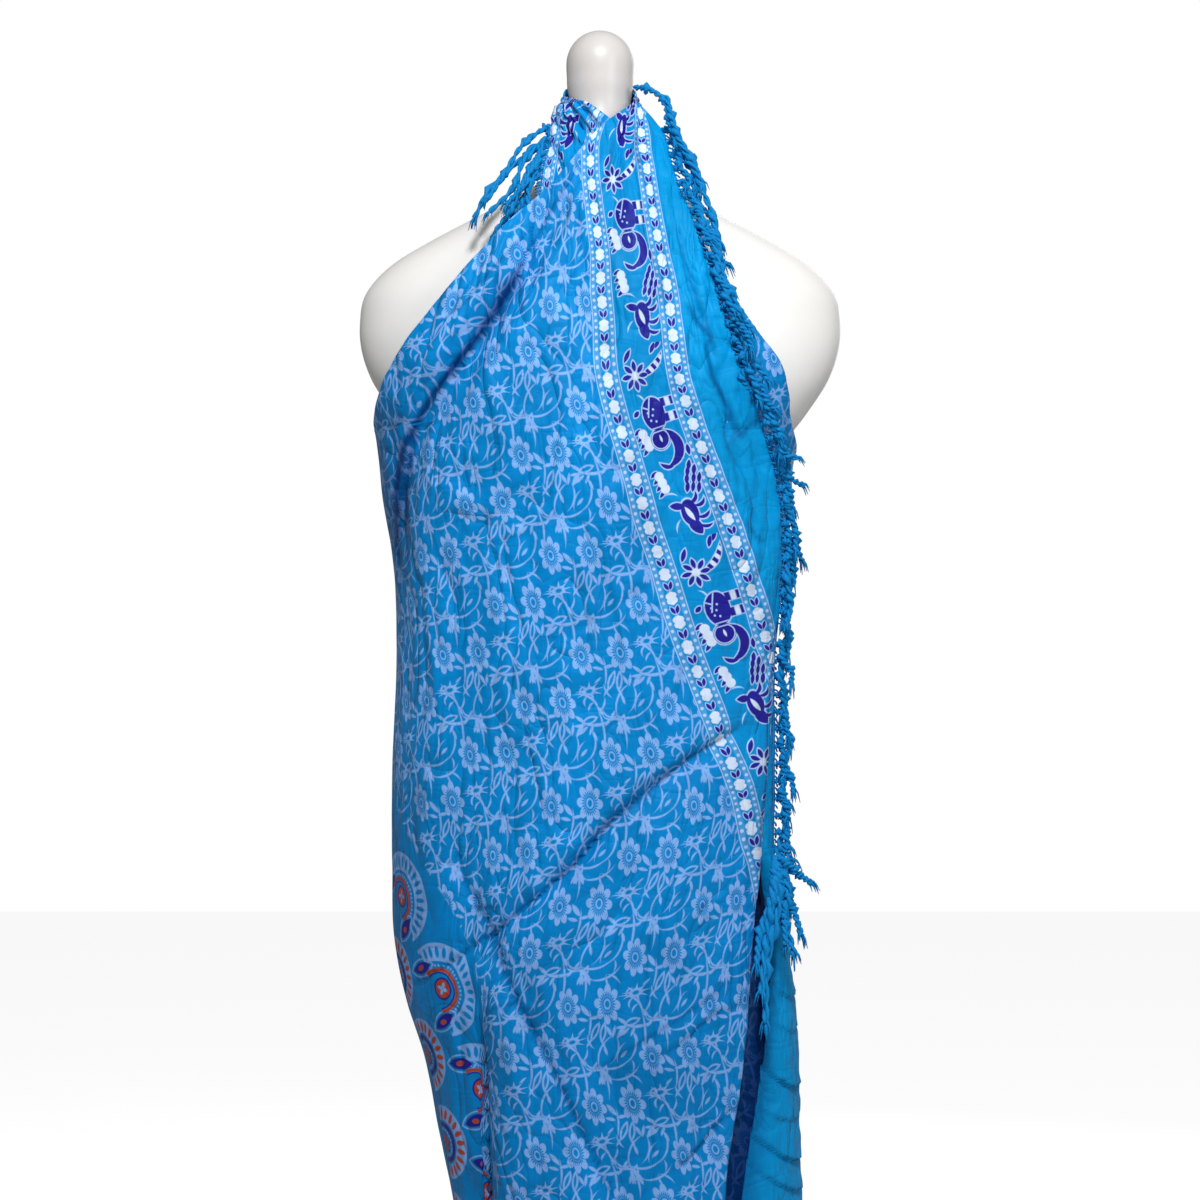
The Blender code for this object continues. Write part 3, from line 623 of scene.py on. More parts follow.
def strip_shade(points):
    """How dark the strip is painted: a little all over, and with painted shade under each scalloped fold and
    beside the gap.
    """
    z = points[..., 2]
    share = shares(z.shape[1] - 1) + 0 * z
    shade = 0.10 + 0 * z
    for fold in STRIP_FOLDS:
        line = scallop(fold, share)
        reach = np.where(z < line, 5.0, 1.6)
        strength = np.clip(fold.depth / 5, 0, 1) * (0.35 + 0.65 * share)
        shade = overlaid(shade, 0.5 * strength * np.exp(-np.abs(z - line) / reach))
    return overlaid(shade, 0.55 * np.exp(-((share / 0.16) ** 2)) * (1 - ramp(z, 780, 850)))


def gap_shade(points):
    """How deep the painted shade on the inner end is: beside the turned edge and in its pocket folds."""
    x, z = points[..., 0], points[..., 2]
    hidden = eased(STRIP_EDGES, "inner", z)
    middle = (eased(OUTER_EDGES, "outer", z) + hidden) / 2 + 2
    gap = np.exp(-(((x - middle) / 24) ** 4)) * (1 - ramp(z, 860, 920)) * 0.94
    gap = gap * (1 - ramp(x, hidden + 2, hidden + 12))
    return overlaid(gap, pockets(UNDER_POCKETS, x, z))


def build_back():
    """The back, from the left side round to the right side."""
    share = shares(BACK_COLUMNS)
    sag = np.sin(math.pi * share)
    top = ARM_LEFT + (ARM_RIGHT - ARM_LEFT) * share + (BACK_TOP - ARM_RIGHT) * sag
    hem = HEM_LOW + (HEM_BACK - HEM_LOW) * sag
    down = np.linspace(0, 1, BACK_ROWS + 1)[:, None]
    z = top + (hem - top) * down
    angle = math.pi * (1 - share) + 0 * down
    relief = np.zeros_like(z)
    for fall in BACK_FALLS:
        grown = np.clip((fall.top - z) / FALL_GROWTH, 0, 1)
        drift = 2.5 * np.sin(z / 170 + fall.place)
        relief += fall.depth * grown * np.exp(-(((180 * share - fall.place - drift) / fall.width) ** 2))
    relief += crumple(on_envelope(z, angle, 0.0), 33.0, 26.0, 0.8)
    for swag in range(4):
        curve = 1120 - 95 * swag - 46 * sag
        relief += (2.2 - 0.4 * swag) * np.exp(-np.abs(z - curve) / 9) * sag
    relief *= np.minimum(1.0, sag * 3)
    return on_envelope(z, angle, UNDER_LAYER * share + relief)


def build_strip():
    """The plain strip of the outer end below the waist, with its scalloped slack folds."""
    share = shares(STRIP_COLUMNS)
    z = levels((STRIP_ROWS,), STRIP_EDGES[0].height, STRIP_EDGES[-1].height)[:, None] + 0 * share
    angle = angles_between(eased(STRIP_EDGES, "inner", z), eased(STRIP_EDGES, "outer", z), z, share)
    flat = on_envelope(z, angle, STRIP_LAYER)
    slack = 0.0
    for fold in STRIP_FOLDS:
        curve = scallop(fold, share)
        below = np.where(z < curve, -1.0, 0.5)
        fall = np.where(z < curve, 6.0, 12.0)
        spread = 0.4 + 0.6 * share - 0.8 * share**8
        slack = slack + fold.depth * below * np.exp(-np.abs(z - curve) / fall) * spread
    low = 1 - ramp(z, 790, 850)
    relief = low * (slack + 2.2 * np.sin(math.pi * share)) - 6.0 * np.exp(-((share / 0.22) ** 2))
    relief = relief + crumple(flat, 41.0, 14.0, 0.9)
    return on_envelope(z, angle, STRIP_LAYER + relief), flat


def quarter_run(where):
    """How far it is round the cloth from the middle of the front to its left side, at heights."""
    ladder = np.linspace(80, 1530, 80)[:, None]
    angle = np.linspace(-math.pi / 2, -math.pi, 60)[None, :] + 0 * ladder
    line = on_envelope(ladder + 0 * angle, angle, 0.0)
    total = np.linalg.norm(np.diff(line[..., :2], axis=1), axis=-1).sum(axis=1)
    return np.interp(where, ladder[:, 0], total)


def border_share(kind, x, z):
    """How far across the border places lie: 0 at its inner bead chain, 1 at its outer one."""
    if kind == "front":
        left, right = eased(BORDER, "left_chain", z), eased(BORDER, "right_chain", z)
        return (x - left) / (right - left)
    if kind == "under":
        loose = 1 - ramp(z, 1150, 1440)
        return 1 - (x - eased(INNER_EDGES, "inner", z) - (9 + 46 * loose)) / (35 + 35 * loose)
    if kind == "strip":
        line = 188 - 26 * ramp(-z, -560, -440)
        return np.where(z > 600, 3.0, 1.12 - (x - line) / 70.0)
    return np.full_like(x, -9.0)


def cloth_maps(points, kind):
    """The two maps of a stretch: across and down the cloth, and across and along its border."""
    step = np.linalg.norm(np.diff(points[..., :2], axis=1), axis=-1)
    run = np.concatenate([np.zeros((len(points), 1)), np.cumsum(step, axis=1)], axis=1)
    x, z = points[..., 0], points[..., 2]
    if kind == "back":
        across = -quarter_run(z[:, :1]) - run
    else:
        middle = [
            np.interp(0.0, places, lengths) if places[0] < 0 < places[-1] else lengths[0] - places[0]
            for places, lengths in zip(x, run)
        ]
        across = run - np.array(middle)[:, None]
    if kind == "front":
        lift = ramp(z, 650, 920)
        across = across + 46.0 * (1 - lift) * ramp((x + 110.0) / (4.0 + 150.0 * lift), -0.5, 0.9)
    gather = 1 + 0.30 * ramp(z, 1270, 1420)
    cloth = np.stack([across * gather, CLOTH_TOP - z], axis=-1) * MM
    share = border_share(kind, x, z)
    ladder = np.linspace(80, 1540, 600)
    middle = (eased(BORDER, "left_chain", ladder) + eased(BORDER, "right_chain", ladder)) / 2
    slope = np.gradient(middle, ladder)
    length = np.cumsum(np.sqrt(1 + slope**2)) * (ladder[1] - ladder[0])
    along = length[-1] - np.interp(z, ladder, length)
    if kind == "front":
        lean = np.interp(z, ladder, -slope / np.sqrt(1 + slope**2))
        along = along + (share - 0.5) * 68 * np.clip(lean, -0.4, 0.4)
    return cloth, np.stack([share * (CHAIN_GAP * MM), along * MM], axis=-1)


def shell(name, points, smooth, kind, node, finish, shade=None):
    """A cloth shell through rows of points: a grid primitive moved into place and given its wall.

    The print is laid out on the smooth rows, the same cloth before its folds. The shade says how
    deep the painted shade at each point is.
    """
    rows, columns = points.shape[:2]
    bpy.ops.object.select_all(action="DESELECT")
    bpy.ops.mesh.primitive_grid_add(x_subdivisions=columns - 1, y_subdivisions=rows - 1, size=1)
    piece = bpy.context.object
    piece.name = name
    mesh = piece.data
    mesh.name = name
    mesh.vertices.foreach_set("co", (points[::-1] * MM).ravel())
    while mesh.uv_layers:
        mesh.uv_layers.remove(mesh.uv_layers[0])
    corner_points = np.empty(len(mesh.loops), dtype=np.int32)
    mesh.loops.foreach_get("vertex_index", corner_points)
    for label, values in zip(("cloth", "band"), cloth_maps(smooth, kind)):
        layer = mesh.uv_layers.new(name=label)
        layer.data.foreach_set("uv", values[::-1].reshape(-1, 2)[corner_points].ravel())
    if shade is not None:
        layer = mesh.attributes.new("shade", "FLOAT", "POINT")
        layer.data.foreach_set("value", shade[::-1].astype(np.float32).ravel())
    mesh.update()
    face_outward(mesh)
    wall = piece.modifiers.new("wall", "SOLIDIFY")
    wall.thickness = WALL * MM
    wall.offset = -1.0
    bpy.ops.object.modifier_apply(modifier=wall.name)
    bpy.ops.object.shade_smooth()
    dress(piece, finish)
    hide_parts(node)
    return piece


def face_outward(mesh):
    """Turn a sheet's faces so that they look away from the form's axis."""
    votes = 0.0
    for face in list(mesh.polygons)[:: max(1, len(mesh.polygons) // 400)]:
        votes += face.normal.dot(Vector((face.center.x, face.center.y, 0)))
    if votes < 0:
        mesh.flip_normals()


def dress(piece, finish):
    """Give a piece its material, slot and body."""
    piece.data.materials.clear()
    piece.data.materials.append(finish)
    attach(piece, BODY)


def surface_edge(points, last, top, bottom, pitch):
    """Spots a pitch apart along a side edge of a stretch, with directions along, away and off it."""
    line = points[:, -1] if last else points[:, 0]
    inside = points[:, -4] if last else points[:, 3]
    keep = (line[:, 2] <= top) & (line[:, 2] >= bottom)
    line, inside = line[keep], inside[keep]
    run = np.concatenate([[0], np.cumsum(np.linalg.norm(np.diff(line, axis=0), axis=1))])

    def at(place, way=line):
        return Vector([np.interp(place, run, way[:, i]) for i in range(3)])

    spots = []
    count = int(run[-1] / pitch)
    for k in range(count + 1):
        place = run[-1] * k / count
        here = at(place)
        along = (at(min(place + 6, run[-1])) - at(max(place - 6, 0))).normalized()
        out = here - at(place, inside)
        out = (out - along * out.dot(along)).normalized()
        lift = along.cross(out).normalized()
        spots.append((here, along, out, -lift if lift.y > 0 else lift))
    return spots


def smooth_route(spots, count):
    """A smooth line of points through a few spots."""
    padded = [spots[0] * 2 - spots[1], *spots, spots[-1] * 2 - spots[-2]]
    made = []
    pieces = len(spots) - 1
    for k in range(count + 1):
        place = min(k / count * pieces, pieces - 1e-6)
        i, t = int(place), place - int(place)
        a, b, c, d = padded[i : i + 4]
        bend = (2 * a - 5 * b + 4 * c - d) * t * t
        made.append(0.5 * ((2 * b) + (c - a) * t + bend + (3 * b - a - 3 * c + d) * t**3))
    return made


def hoop(shape, centre, across, up, radius, count):
    """A ring of points round a centre, in the plane of two directions."""
    ring = []
    for j in range(count):
        angle = 2 * math.pi * j / count
        spot = centre + (across * math.cos(angle) + up * math.sin(angle)) * radius
        ring.append(shape.verts.new(spot * MM))
    return ring


def tassel(shape, route, size, draw):
    """One tassel on a route: two threads twisted together, knots, and a frayed end."""
    count = TASSEL_STEPS
    line = smooth_route(route, count)
    places = ((0.20, 0.04), (0.46, 0.06), (0.72, 0.05))
    knots = [place + draw.uniform(-stray, stray) for place, stray in places]
    turns = draw.uniform(4.0, 6.5)
    phase = draw.uniform(0, 6.28)
    for strand in range(2):
        rings = []
        for k, here in enumerate(line):
            t = k / count
            ahead = (line[min(k + 1, count)] - line[max(k - 1, 0)]).normalized()
            across = ahead.cross(Vector((0.3, 1, 0.2))).normalized()
            up = across.cross(ahead)
            swell = sum(math.exp(-(((t - knot) / 0.035) ** 2)) for knot in knots)
            spin = phase + turns * 2 * math.pi * t + math.pi * strand
            offset = size * (0.55 + 0.35 * swell)
            centre = here + (across * math.cos(spin) + up * math.sin(spin)) * offset
            rings.append(hoop(shape, centre, across, up, size * (0.62 + 0.75 * swell), 6))
        skin(shape, rings)
    end = line[-1]
    ahead = (line[-1] - line[-3]).normalized()
    for _ in range(TASSEL_HAIRS):
        spread = Vector((draw.uniform(-1, 1), draw.uniform(-1, 1), draw.uniform(-1, 1)))
        way = (ahead + spread * 0.38).normalized()
        reach = draw.uniform(8, 15)
        bend = Vector((0, 0, -1)) * reach * 0.35
        start = end - ahead * 3 + spread * size * 0.5
        across = way.cross(Vector((0.2, 1, 0.1))).normalized()
        up = across.cross(way)
        tips = ((start, 0.34), (start + way * reach * 0.5, 0.26), (start + way * reach * 0.8 + bend, 0.10))
        skin(shape, [hoop(shape, here, across, up, size * thick, 4) for here, thick in tips])


def skin(shape, rings):
    """A closed skin over rings of the same number of points."""
    count = len(rings[0])
    for upper, lower in zip(rings, rings[1:]):
        for i in range(count):
            after = (i + 1) % count
            shape.faces.new((upper[i], upper[after], lower[after], lower[i]))
    shape.faces.new(rings[0][::-1])
    shape.faces.new(rings[-1])


def lofted(rows, sides, place):
    """A closed shape through rings of points. Place gives the point of a row at an angle."""
    shape = bmesh.new()
    rings = []
    for k in range(rows):
        rings.append([shape.verts.new(place(k, 2 * math.pi * j / sides)) for j in range(sides)])
    skin(shape, rings)
    return shape


def finished(shape, name, finish, slot, *nodes, printed=False):
    """A piece made of a built shape, in place of solids of the part."""
    bmesh.ops.recalc_face_normals(shape, faces=shape.faces)
    mesh = bpy.data.meshes.new(name)
    shape.to_mesh(mesh)
    shape.free()
    mesh.shade_smooth()
    piece = bpy.data.objects.new(name, mesh)
    bpy.context.scene.collection.objects.link(piece)
    if printed:
        plain_maps(mesh)
    dress(piece, finish)
    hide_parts(*nodes)


def threads(name, spots, routes, seed, node, finish, size):
    """A fringe: its root stitches along the edge, and a tassel on each route."""
    draw = random.Random(seed)
    shape = bmesh.new()
    for (here, along, out, lift), after in zip(spots, spots[1:]):
        for k in range(3):
            start = here.lerp(after[0], k / 3) - out * 1.5
            end = here.lerp(after[0], (k + 0.7 + draw.uniform(-0.2, 0.2)) / 3) + out * draw.uniform(3.0, 5.5)
            stitch = (start + lift * 0.4, start.lerp(end, 0.5) + lift * 1.2, end + lift * 0.8)
            skin(shape, [hoop(shape, spot, along, lift, 0.9, 5) for spot in stitch])
    for route in routes:
        tassel(shape, route, size * 1.15 if len(route) == 4 else size, draw)
    finished(shape, name, finish, "fringe_thread", node)


def outer_tassels(points):
    """Routes of the tassels down the right of the front, above the waist."""
    draw = random.Random(5)
    spots = surface_edge(points, True, 1482, 1030, TASSEL_PITCH)
    routes = []
    for here, along, out, lift in spots[:-1]:
        length = draw.uniform(40, 60)
        lean = draw.uniform(-0.02, 0.34)
        sway = draw.uniform(-3.5, 3.5)
        heading = (along + out * lean + Vector((0, 0, -0.15))).normalized()
        cross = heading.cross(lift)
        route = [here - out * 1.0 + lift * 0.8, here + out * 4.0 + lift * 2.6]
        for away, share, rise, swing in ((6.0, 0.35, 4.0, 1.0), (5.0, 0.7, 4.6, -1.0), (4.0, 1.0, 4.0, 1.5)):
            route.append(here + out * away + heading * length * share + lift * rise + cross * sway * swing)
        routes.append(route)
    chain = ((32, -22, 1524), (45, -34, 1520), (58, -44, 1508), (62, -52, 1489), (68, -58, 1470))
    chain += ((80, -65, 1448), (89, -72, 1425), (99, -80, 1398), (106, -86, 1370))
    for first, last, rise in ((0, 5, 0.0), (2, 7, 3.0), (4, 9, 1.5)):
        routes.append([Vector((x + rise * 0.8, y - rise, z + rise)) for x, y, z in chain[first:last]])
    return spots, routes


def lower_tassels(points):
    """Routes of the tassels beside the plain strip, and the last long ones at its top."""
    draw = random.Random(8)
    spots = surface_edge(points, True, 1016, 828, TASSEL_PITCH)
    routes = []
    side = Vector((1, -0.45, 0)).normalized()
    for here, _, out, lift in spots:
        length = draw.uniform(34, 54)
        swing = draw.uniform(0.12, 0.42)
        heading = (Vector((0, 0, -1)) + side * swing).normalized()
        sway = draw.uniform(-3.0, 3.0)
        cross = heading.cross(Vector((0, 1, 0)))
        route = [here - out * 1.0 + lift * 0.8, here + side * 4.0 + lift * 2.6]
        for away, share, turn in ((5.0, 0.35, 1.0), (4.0, 0.7, -1.0), (3.0, 1.0, 1.0)):
            route.append(here + side * away + heading * length * share + cross * sway * turn)
        routes.append(route)
    top = Vector((157, -66, 826))
    ends = ((174, -80, 738), (143, -96, 706), (190, -72, 802), (147, -96, 680))
    ends += ((166, -82, 748), (180, -78, 756), (139, -94, 730))
    for end in map(Vector, ends):
        sag = Vector((draw.uniform(-7, 7), -6, 0))
        routes.append([top, top.lerp(end, 0.3) + sag, top.lerp(end, 0.65) - sag * 0.3, end])
    return spots, routes


def inner_tassels(points):
    """Routes of the tassels at the left of the neck."""
    draw = random.Random(3)
    spots = surface_edge(points, False, 1490, 1405, INNER_PITCH)
    ends = ((-102, 1412), (-112, 1397), (-98, 1402), (-80, 1390))
    ends += ((-90, 1376), (-84, 1408), (-74, 1384), (-94, 1384))
    routes = []
    for i, ((here, _, out, lift), (x_end, z_end)) in enumerate(zip(spots, ends)):
        end = Vector((x_end, -78 - 4 * (i % 3), z_end))
        arch = here.lerp(end, 0.35) + Vector((draw.uniform(-6, 0), -8, draw.uniform(2, 10)))
        low = here.lerp(end, 0.7) + Vector((draw.uniform(-6, 4), -5, draw.uniform(-2, 4)))
        routes.append([here - out * 1.0 + lift * 0.6, here + out * 4 + lift * 3, arch, low, end])
    return spots, routes


def flat_shader(name, colour, roughness, metallic=0.0):
    """A first plain finish."""
    made = bpy.data.materials.new(name)
    made.use_nodes = True
    values = {"Base Color": (*colour, 1), "Roughness": roughness, "Metallic": metallic}
    settle(made.node_tree, made.node_tree.nodes["Principled BSDF"], values)
    return made


class Term:
    """A number worked out by shader nodes, so that a pattern is written as plain sums."""

    def __init__(self, tree, socket):
        self.tree = tree
        self.socket = socket

    def work(self, operation, *others, clamp=False, swap=False):
        node = self.tree.nodes.new("ShaderNodeMath")
        node.operation = operation
        node.use_clamp = clamp
        values = (*others, self) if swap else (self, *others)
        for slot, value in zip(node.inputs, values):
            feed(self.tree, slot, value)
        return Term(self.tree, node.outputs[0])

    def __add__(self, other):
        return self.work("ADD", other)

    def __sub__(self, other):
        return self.work("SUBTRACT", other)

    def __rsub__(self, other):
        return self.work("SUBTRACT", other, swap=True)

    def __mul__(self, other):
        return self.work("MULTIPLY", other)

    def __abs__(self):
        return self.work("ABSOLUTE")

    def least(self, other):
        return self.work("MINIMUM", other)

    def most(self, other):
        return self.work("MAXIMUM", other)

    def sine(self):
        return self.work("SINE")

    def power(self, other):
        return self.work("POWER", other)

    def wrapped(self, top, bottom):
        return self.work("WRAP", top, bottom)

    def inked(self, soft):
        """A mask that is 1 where a distance is below zero, with a soft edge."""
        return self.work("MULTIPLY_ADD", -1.0 / soft, 0.5, clamp=True)


class Spot:
    """A place or direction as a vector worked out by nodes, mostly on the flat cloth."""

    def __init__(self, tree, socket):
        self.tree = tree
        self.socket = socket

    def vector(self, operation, *others, out=0):
        node = self.tree.nodes.new("ShaderNodeVectorMath")
        node.operation = operation
        feed(self.tree, node.inputs[0], self)
        slots = [node.inputs[3]] if operation == "SCALE" else node.inputs[1:]
        for slot, value in zip(slots, others):
            feed(self.tree, slot, value)
        return node.outputs[out]

    def moved(self, x, y):
        return Spot(self.tree, self.vector("SUBTRACT", (x, y, 0)))

    def stretched(self, x, y, z=0):
        return Spot(self.tree, self.vector("MULTIPLY", (x, y, z)))

    def far(self, x, y):
        return Term(self.tree, self.vector("DISTANCE", (x, y, 0), out=1))

    def length(self):
        return Term(self.tree, self.vector("LENGTH", out=1))

    def along(self, x, y):
        return Term(self.tree, self.vector("DOT_PRODUCT", (x, y, 0), out=1))

    def parts(self):
        node = self.tree.nodes.new("ShaderNodeSeparateXYZ")
        feed(self.tree, node.inputs[0], self)
        return [Term(self.tree, part) for part in node.outputs]


def feed(tree, slot, value):
    """Link a worked-out value to a socket, or set a plain one."""
    if isinstance(value, (Term, Spot)):
        tree.links.new(value.socket, slot)
    elif hasattr(value, "is_output"):
        tree.links.new(value, slot)
    else:
        slot.default_value = value


def settle(tree, node, values):
    """Set or link a node's inputs by their names."""
    for name, value in values.items():
        feed(tree, node.inputs[name], value)


def joined(x, y):
    """A place made of two numbers."""
    node = x.tree.nodes.new("ShaderNodeCombineXYZ")
    feed(x.tree, node.inputs[0], x)
    feed(x.tree, node.inputs[1], y)
    return Spot(x.tree, node.outputs[0])


def leaf(spot, x0, y0, x1, y1, width):
    """How far a place is outside a leaf between two tips, of a width across its middle."""
    run, half = math.hypot(x1 - x0, y1 - y0) / 2, width / 2
    radius = (run * run + half * half) / (2 * half)
    across = ((y1 - y0) / (2 * run), (x0 - x1) / (2 * run))
    middle = ((x0 + x1) / 2, (y0 + y1) / 2)
    shift = radius - half
    first = spot.far(middle[0] + across[0] * shift, middle[1] + across[1] * shift)
    second = spot.far(middle[0] - across[0] * shift, middle[1] - across[1] * shift)
    return first.most(second) - radius


def bow(spot, x0, y0, x1, y1, bulge, width):
    """How far a place is outside a curved stroke that bulges to the left of its way (y down)."""
    run = math.hypot(x1 - x0, y1 - y0) / 2
    across = ((y1 - y0) / (2 * run), (x0 - x1) / (2 * run))
    if bulge < 0:
        across, bulge = (-across[0], -across[1]), -bulge
    middle = ((x0 + x1) / 2, (y0 + y1) / 2)
    found = []
    for height in (bulge + width / 2, max(bulge - width / 2, 0.05)):
        radius = (run * run + height * height) / (2 * height)
        shift = height - radius
        found.append((middle[0] + across[0] * shift, middle[1] + across[1] * shift, radius))
    outer, inner = found
    first = spot.far(outer[0], outer[1]) - outer[2]
    second = inner[2] - spot.far(inner[0], inner[1])
    return first.most(second)


def oval(spot, x, y, wide, high):
    """How far a place is outside an upright oval of half sizes, in millimetres."""
    return spot.moved(x, y).stretched(1 / wide, 1 / high).length() * min(wide, high) - min(wide, high)


def outline(distance, half):
    """The line along a shape's edge."""
    return abs(distance) - half


def nearest(*shapes):
    """The least of several distances, which joins their shapes."""
    return reduce(Term.least, shapes)


def without(shape, *holes):
    """A shape less the holes left in it."""
    for hole in holes:
        shape = shape.most(hole * -1.0)
    return shape


def rays(spot, count, start=0.0):
    """The angle round a place times a count, for shapes with lobes and rays."""
    x, y, _ = spot.parts()
    return y.work("ARCTAN2", x) * count + start


def leaning(x, y):
    """A listed place, turned from the photo's upright frame into the cloth's leaning one."""
    cosine, sine = math.cos(LEAN), math.sin(LEAN)
    return x * cosine - y * sine, x * sine + y * cosine


# The small floral repeat: two flowers on vines, in millimetres across and down from the first flower.
LEAN = math.radians(17.0)
CELL_WIDE = 61.1
CELL_HIGH = 92.2
CELL_DROP = 64.8
# Vines: start, end, bulge to the left of the way, width.
NEAR_VINES = [
    (-34, 20, -12, 9, -4.0, 1.7),
    (-33, 20, -46, 8, 2.0, 1.6),
    (-46, 7, -37, 35, 2.5, 1.4),
    (-20, 15, -9, 22, 1.2, 1.3),
    (-22, 16, -17, 26, -1.0, 1.2),
    (-16, 12, -17, 3, -1.0, 1.2),
    (-46, 8, -21, 3, -4.5, 1.6),
    (-46, 8, -36, -19, 4.5, 1.3),
    (-21, 4, -17, -22, -4.5, 1.3),
    (-34, 4, -31, -17, -3.0, 1.2),
    (-30, 3, -25, -12, 2.0, 1.2),
    (-46, 8, -58, 9, 3.0, 1.4),
    (-46, 8, -58, 4, 3.5, 1.2),
]
NEAR_LEAVES = [
    (-36, -19, -41, -27, 2.4),
    (-31, -17, -25, -29, 3.6),
    (-35, -18, -34, -28, 2.2),
    (-17, -22, -13, -14, 2.2),
    (-40, 8, -43, 23, 4.6),
    (-45, 12, -41, 24, 2.6),
    (-27, 0, -22, -6, 2.4),
    (-39, -2, -42, -10, 2.2),
    (-58, 8, -62, 1, 2.6),
    (-52, 11, -56, 17, 2.2),
]
FAR_VINES = [
    (45, -10, 66, 6, 6.0, 1.7),
    (66, 5, 71, 38, 2.0, 1.6),
    (55, -8, 54, 0, -1.5, 1.4),
    (61, -3, 57, 4, -1.2, 1.4),
    (67, 4, 71, -7, -1.5, 1.4),
    (50, -10, 53, -17, 2.0, 1.3),
    (54, 16, 76, 13, -2.0, 2.4),
    (76, 13, 90, 18, 4.0, 2.0),
]
FAR_LEAVES = [
    (52, 15, 64, 10, 5.2),
    (88, 14, 93, 24, 3.0),
    (84, 16, 82, 24, 2.4),
    (76, 12, 80, 4, 2.2),
    (54, 15, 45, 9, 2.6),
    (54, 17, 44, 18, 2.4),
    (56, 18, 49, 25, 2.6),
    (61, 17, 58, 25, 2.2),
]
MID_VINES = [
    (20, 4, 21, 26, 1.2, 1.4),
    (20, 26, 26, 36, -1.0, 1.3),
]
MID_LEAVES = [
    (20, 8, 11, -2, 3.6),
    (20, 10, 29, 8, 2.6),
    (19, 12, 10, 10, 2.6),
    (29, 14, 24, 29, 4.4),
    (34, 14, 33, 30, 4.2),
    (24, 28, 20, 35, 1.8),
    (33, 29, 36, 36, 1.8),
    (12, 24, 17, 19, 1.6),
]


def flower(spot, wide, high, petals, start):
    """A flat round-petalled flower with a toothed eye and an oval ring at its heart, as a mask."""
    near = spot.stretched(1 / wide, 1 / high)
    radius = near.length()
    angle = rays(near, petals / 2, start)
    lobe = abs(angle.sine())
    rim = lobe.power(0.75) * 0.38 + 0.62
    petal = (radius - rim).inked(0.07)
    teeth = (angle * 6.0).sine() * 0.09 + 0.55
    eye = (teeth - radius).inked(0.06)
    gap = (lobe * 0.5 + (radius * -0.6 + 0.42)).inked(0.07)
    blades = petal * eye
    blades = blades * (1.0 - gap)
    heart = abs(radius - 0.22) - 0.045
    grains = abs(radius - 0.40) - ((angle * 8.0).sine() * 0.05 - 0.01)
    return blades.most(heart.least(grains).inked(0.07))


def thorny(spot, wide, high, spikes):
    """A thorny ring with a hollow middle, as a distance in millimetres."""
    near = spot.stretched(1 / wide, 1 / high)
    radius = near.length()
    thorn = (1.0 - abs(rays(near, spikes / 2).sine())).power(2.5)
    body = radius - (thorn * 0.75 + 0.62)
    hollow = 0.34 - radius
    return body.most(hollow) * min(wide, high)


def group(name, outputs):
    """A node group from a place on the cloth in metres to named values: its tree, place and inputs."""
    tree = bpy.data.node_groups.new(name, "ShaderNodeTree")
    tree.interface.new_socket(name="cloth", in_out="INPUT", socket_type="NodeSocketVector")
    for label in outputs:
        tree.interface.new_socket(name=label, in_out="OUTPUT", socket_type="NodeSocketFloat")
    entry, leave = tree.nodes.new("NodeGroupInput"), tree.nodes.new("NodeGroupOutput")
    return tree, Spot(tree, entry.outputs[0]), leave.inputs


def lattice(spot, x, y):
    """The place from the nearest repeat of an anchor of the floral lattice."""
    near = spot.moved(x, y)
    across, down, _ = near.parts()
    column = (across * (1 / CELL_WIDE)).work("ROUND")
    half = CELL_HIGH / 2
    return joined(across - column * CELL_WIDE, (down - column * CELL_DROP).wrapped(half, -half))


def near_anchor(rows, x, y):
    """Rows of listed places, turned into the leaning frame and set from an anchor."""
    made = []
    for x0, y0, x1, y1, *sizes in rows:
        start, end = leaning(x0, y0), leaning(x1, y1)
        made.append((start[0] - x, start[1] - y, end[0] - x, end[1] - y, *sizes))
    return made


def floral_group():
    """The floral ink as a mask, from a place on the cloth in metres."""
    tree, entry, leave = group("floral_print", ("ink",))
    across, down, _ = Spot(tree, entry.vector("SCALE", 1 / MM)).parts()
    cosine, sine = math.cos(LEAN), math.sin(LEAN)
    spot = joined(across * cosine - down * sine, across * sine + down * cosine)
    lines = []
    for vines, leaves, anchor in (
        (NEAR_VINES, NEAR_LEAVES, (-35.0, 2.0)),
        (FAR_VINES, FAR_LEAVES, (69.0, 8.0)),
        (MID_VINES, MID_LEAVES, (17.0, -1.5)),
    ):
        x, y = leaning(*anchor)
        near = lattice(spot, x, y)
        lines += [bow(near, *row) for row in near_anchor(vines, x, y)]
        for row in near_anchor(leaves, x, y):
            blade = leaf(near, *row)
            lines.append(outline(blade, 0.65) if row[4] > 4 else blade)

    def from_middle(place):
        place_x, place_y = leaning(*place)
        return near.moved(place_x - x, place_y - y)

    lines.append(thorny(from_middle((7.0, 31.0)), 9.5, 6.0, 9))
    mask = (nearest(*lines) - 0.18).inked(0.9)
    mask = mask.most(flower(from_middle((0.0, 0.0)), 10.6, 17.4, 8, 0.2))
    mask = mask.most(flower(from_middle((34.0, -3.0)), 11.2, 18.4, 8, 0.6))
    feed(tree, leave[0], mask)
    return tree


# The border, in millimetres across from its left bead chain and along it.
CHAIN_GAP = 70.0
FIELD_END = -11.5
PLAIN_START = 84.0
BORDER_START = 80.0
BORDER_PERIOD = 180.0
CHAIN_PITCH = 22.0


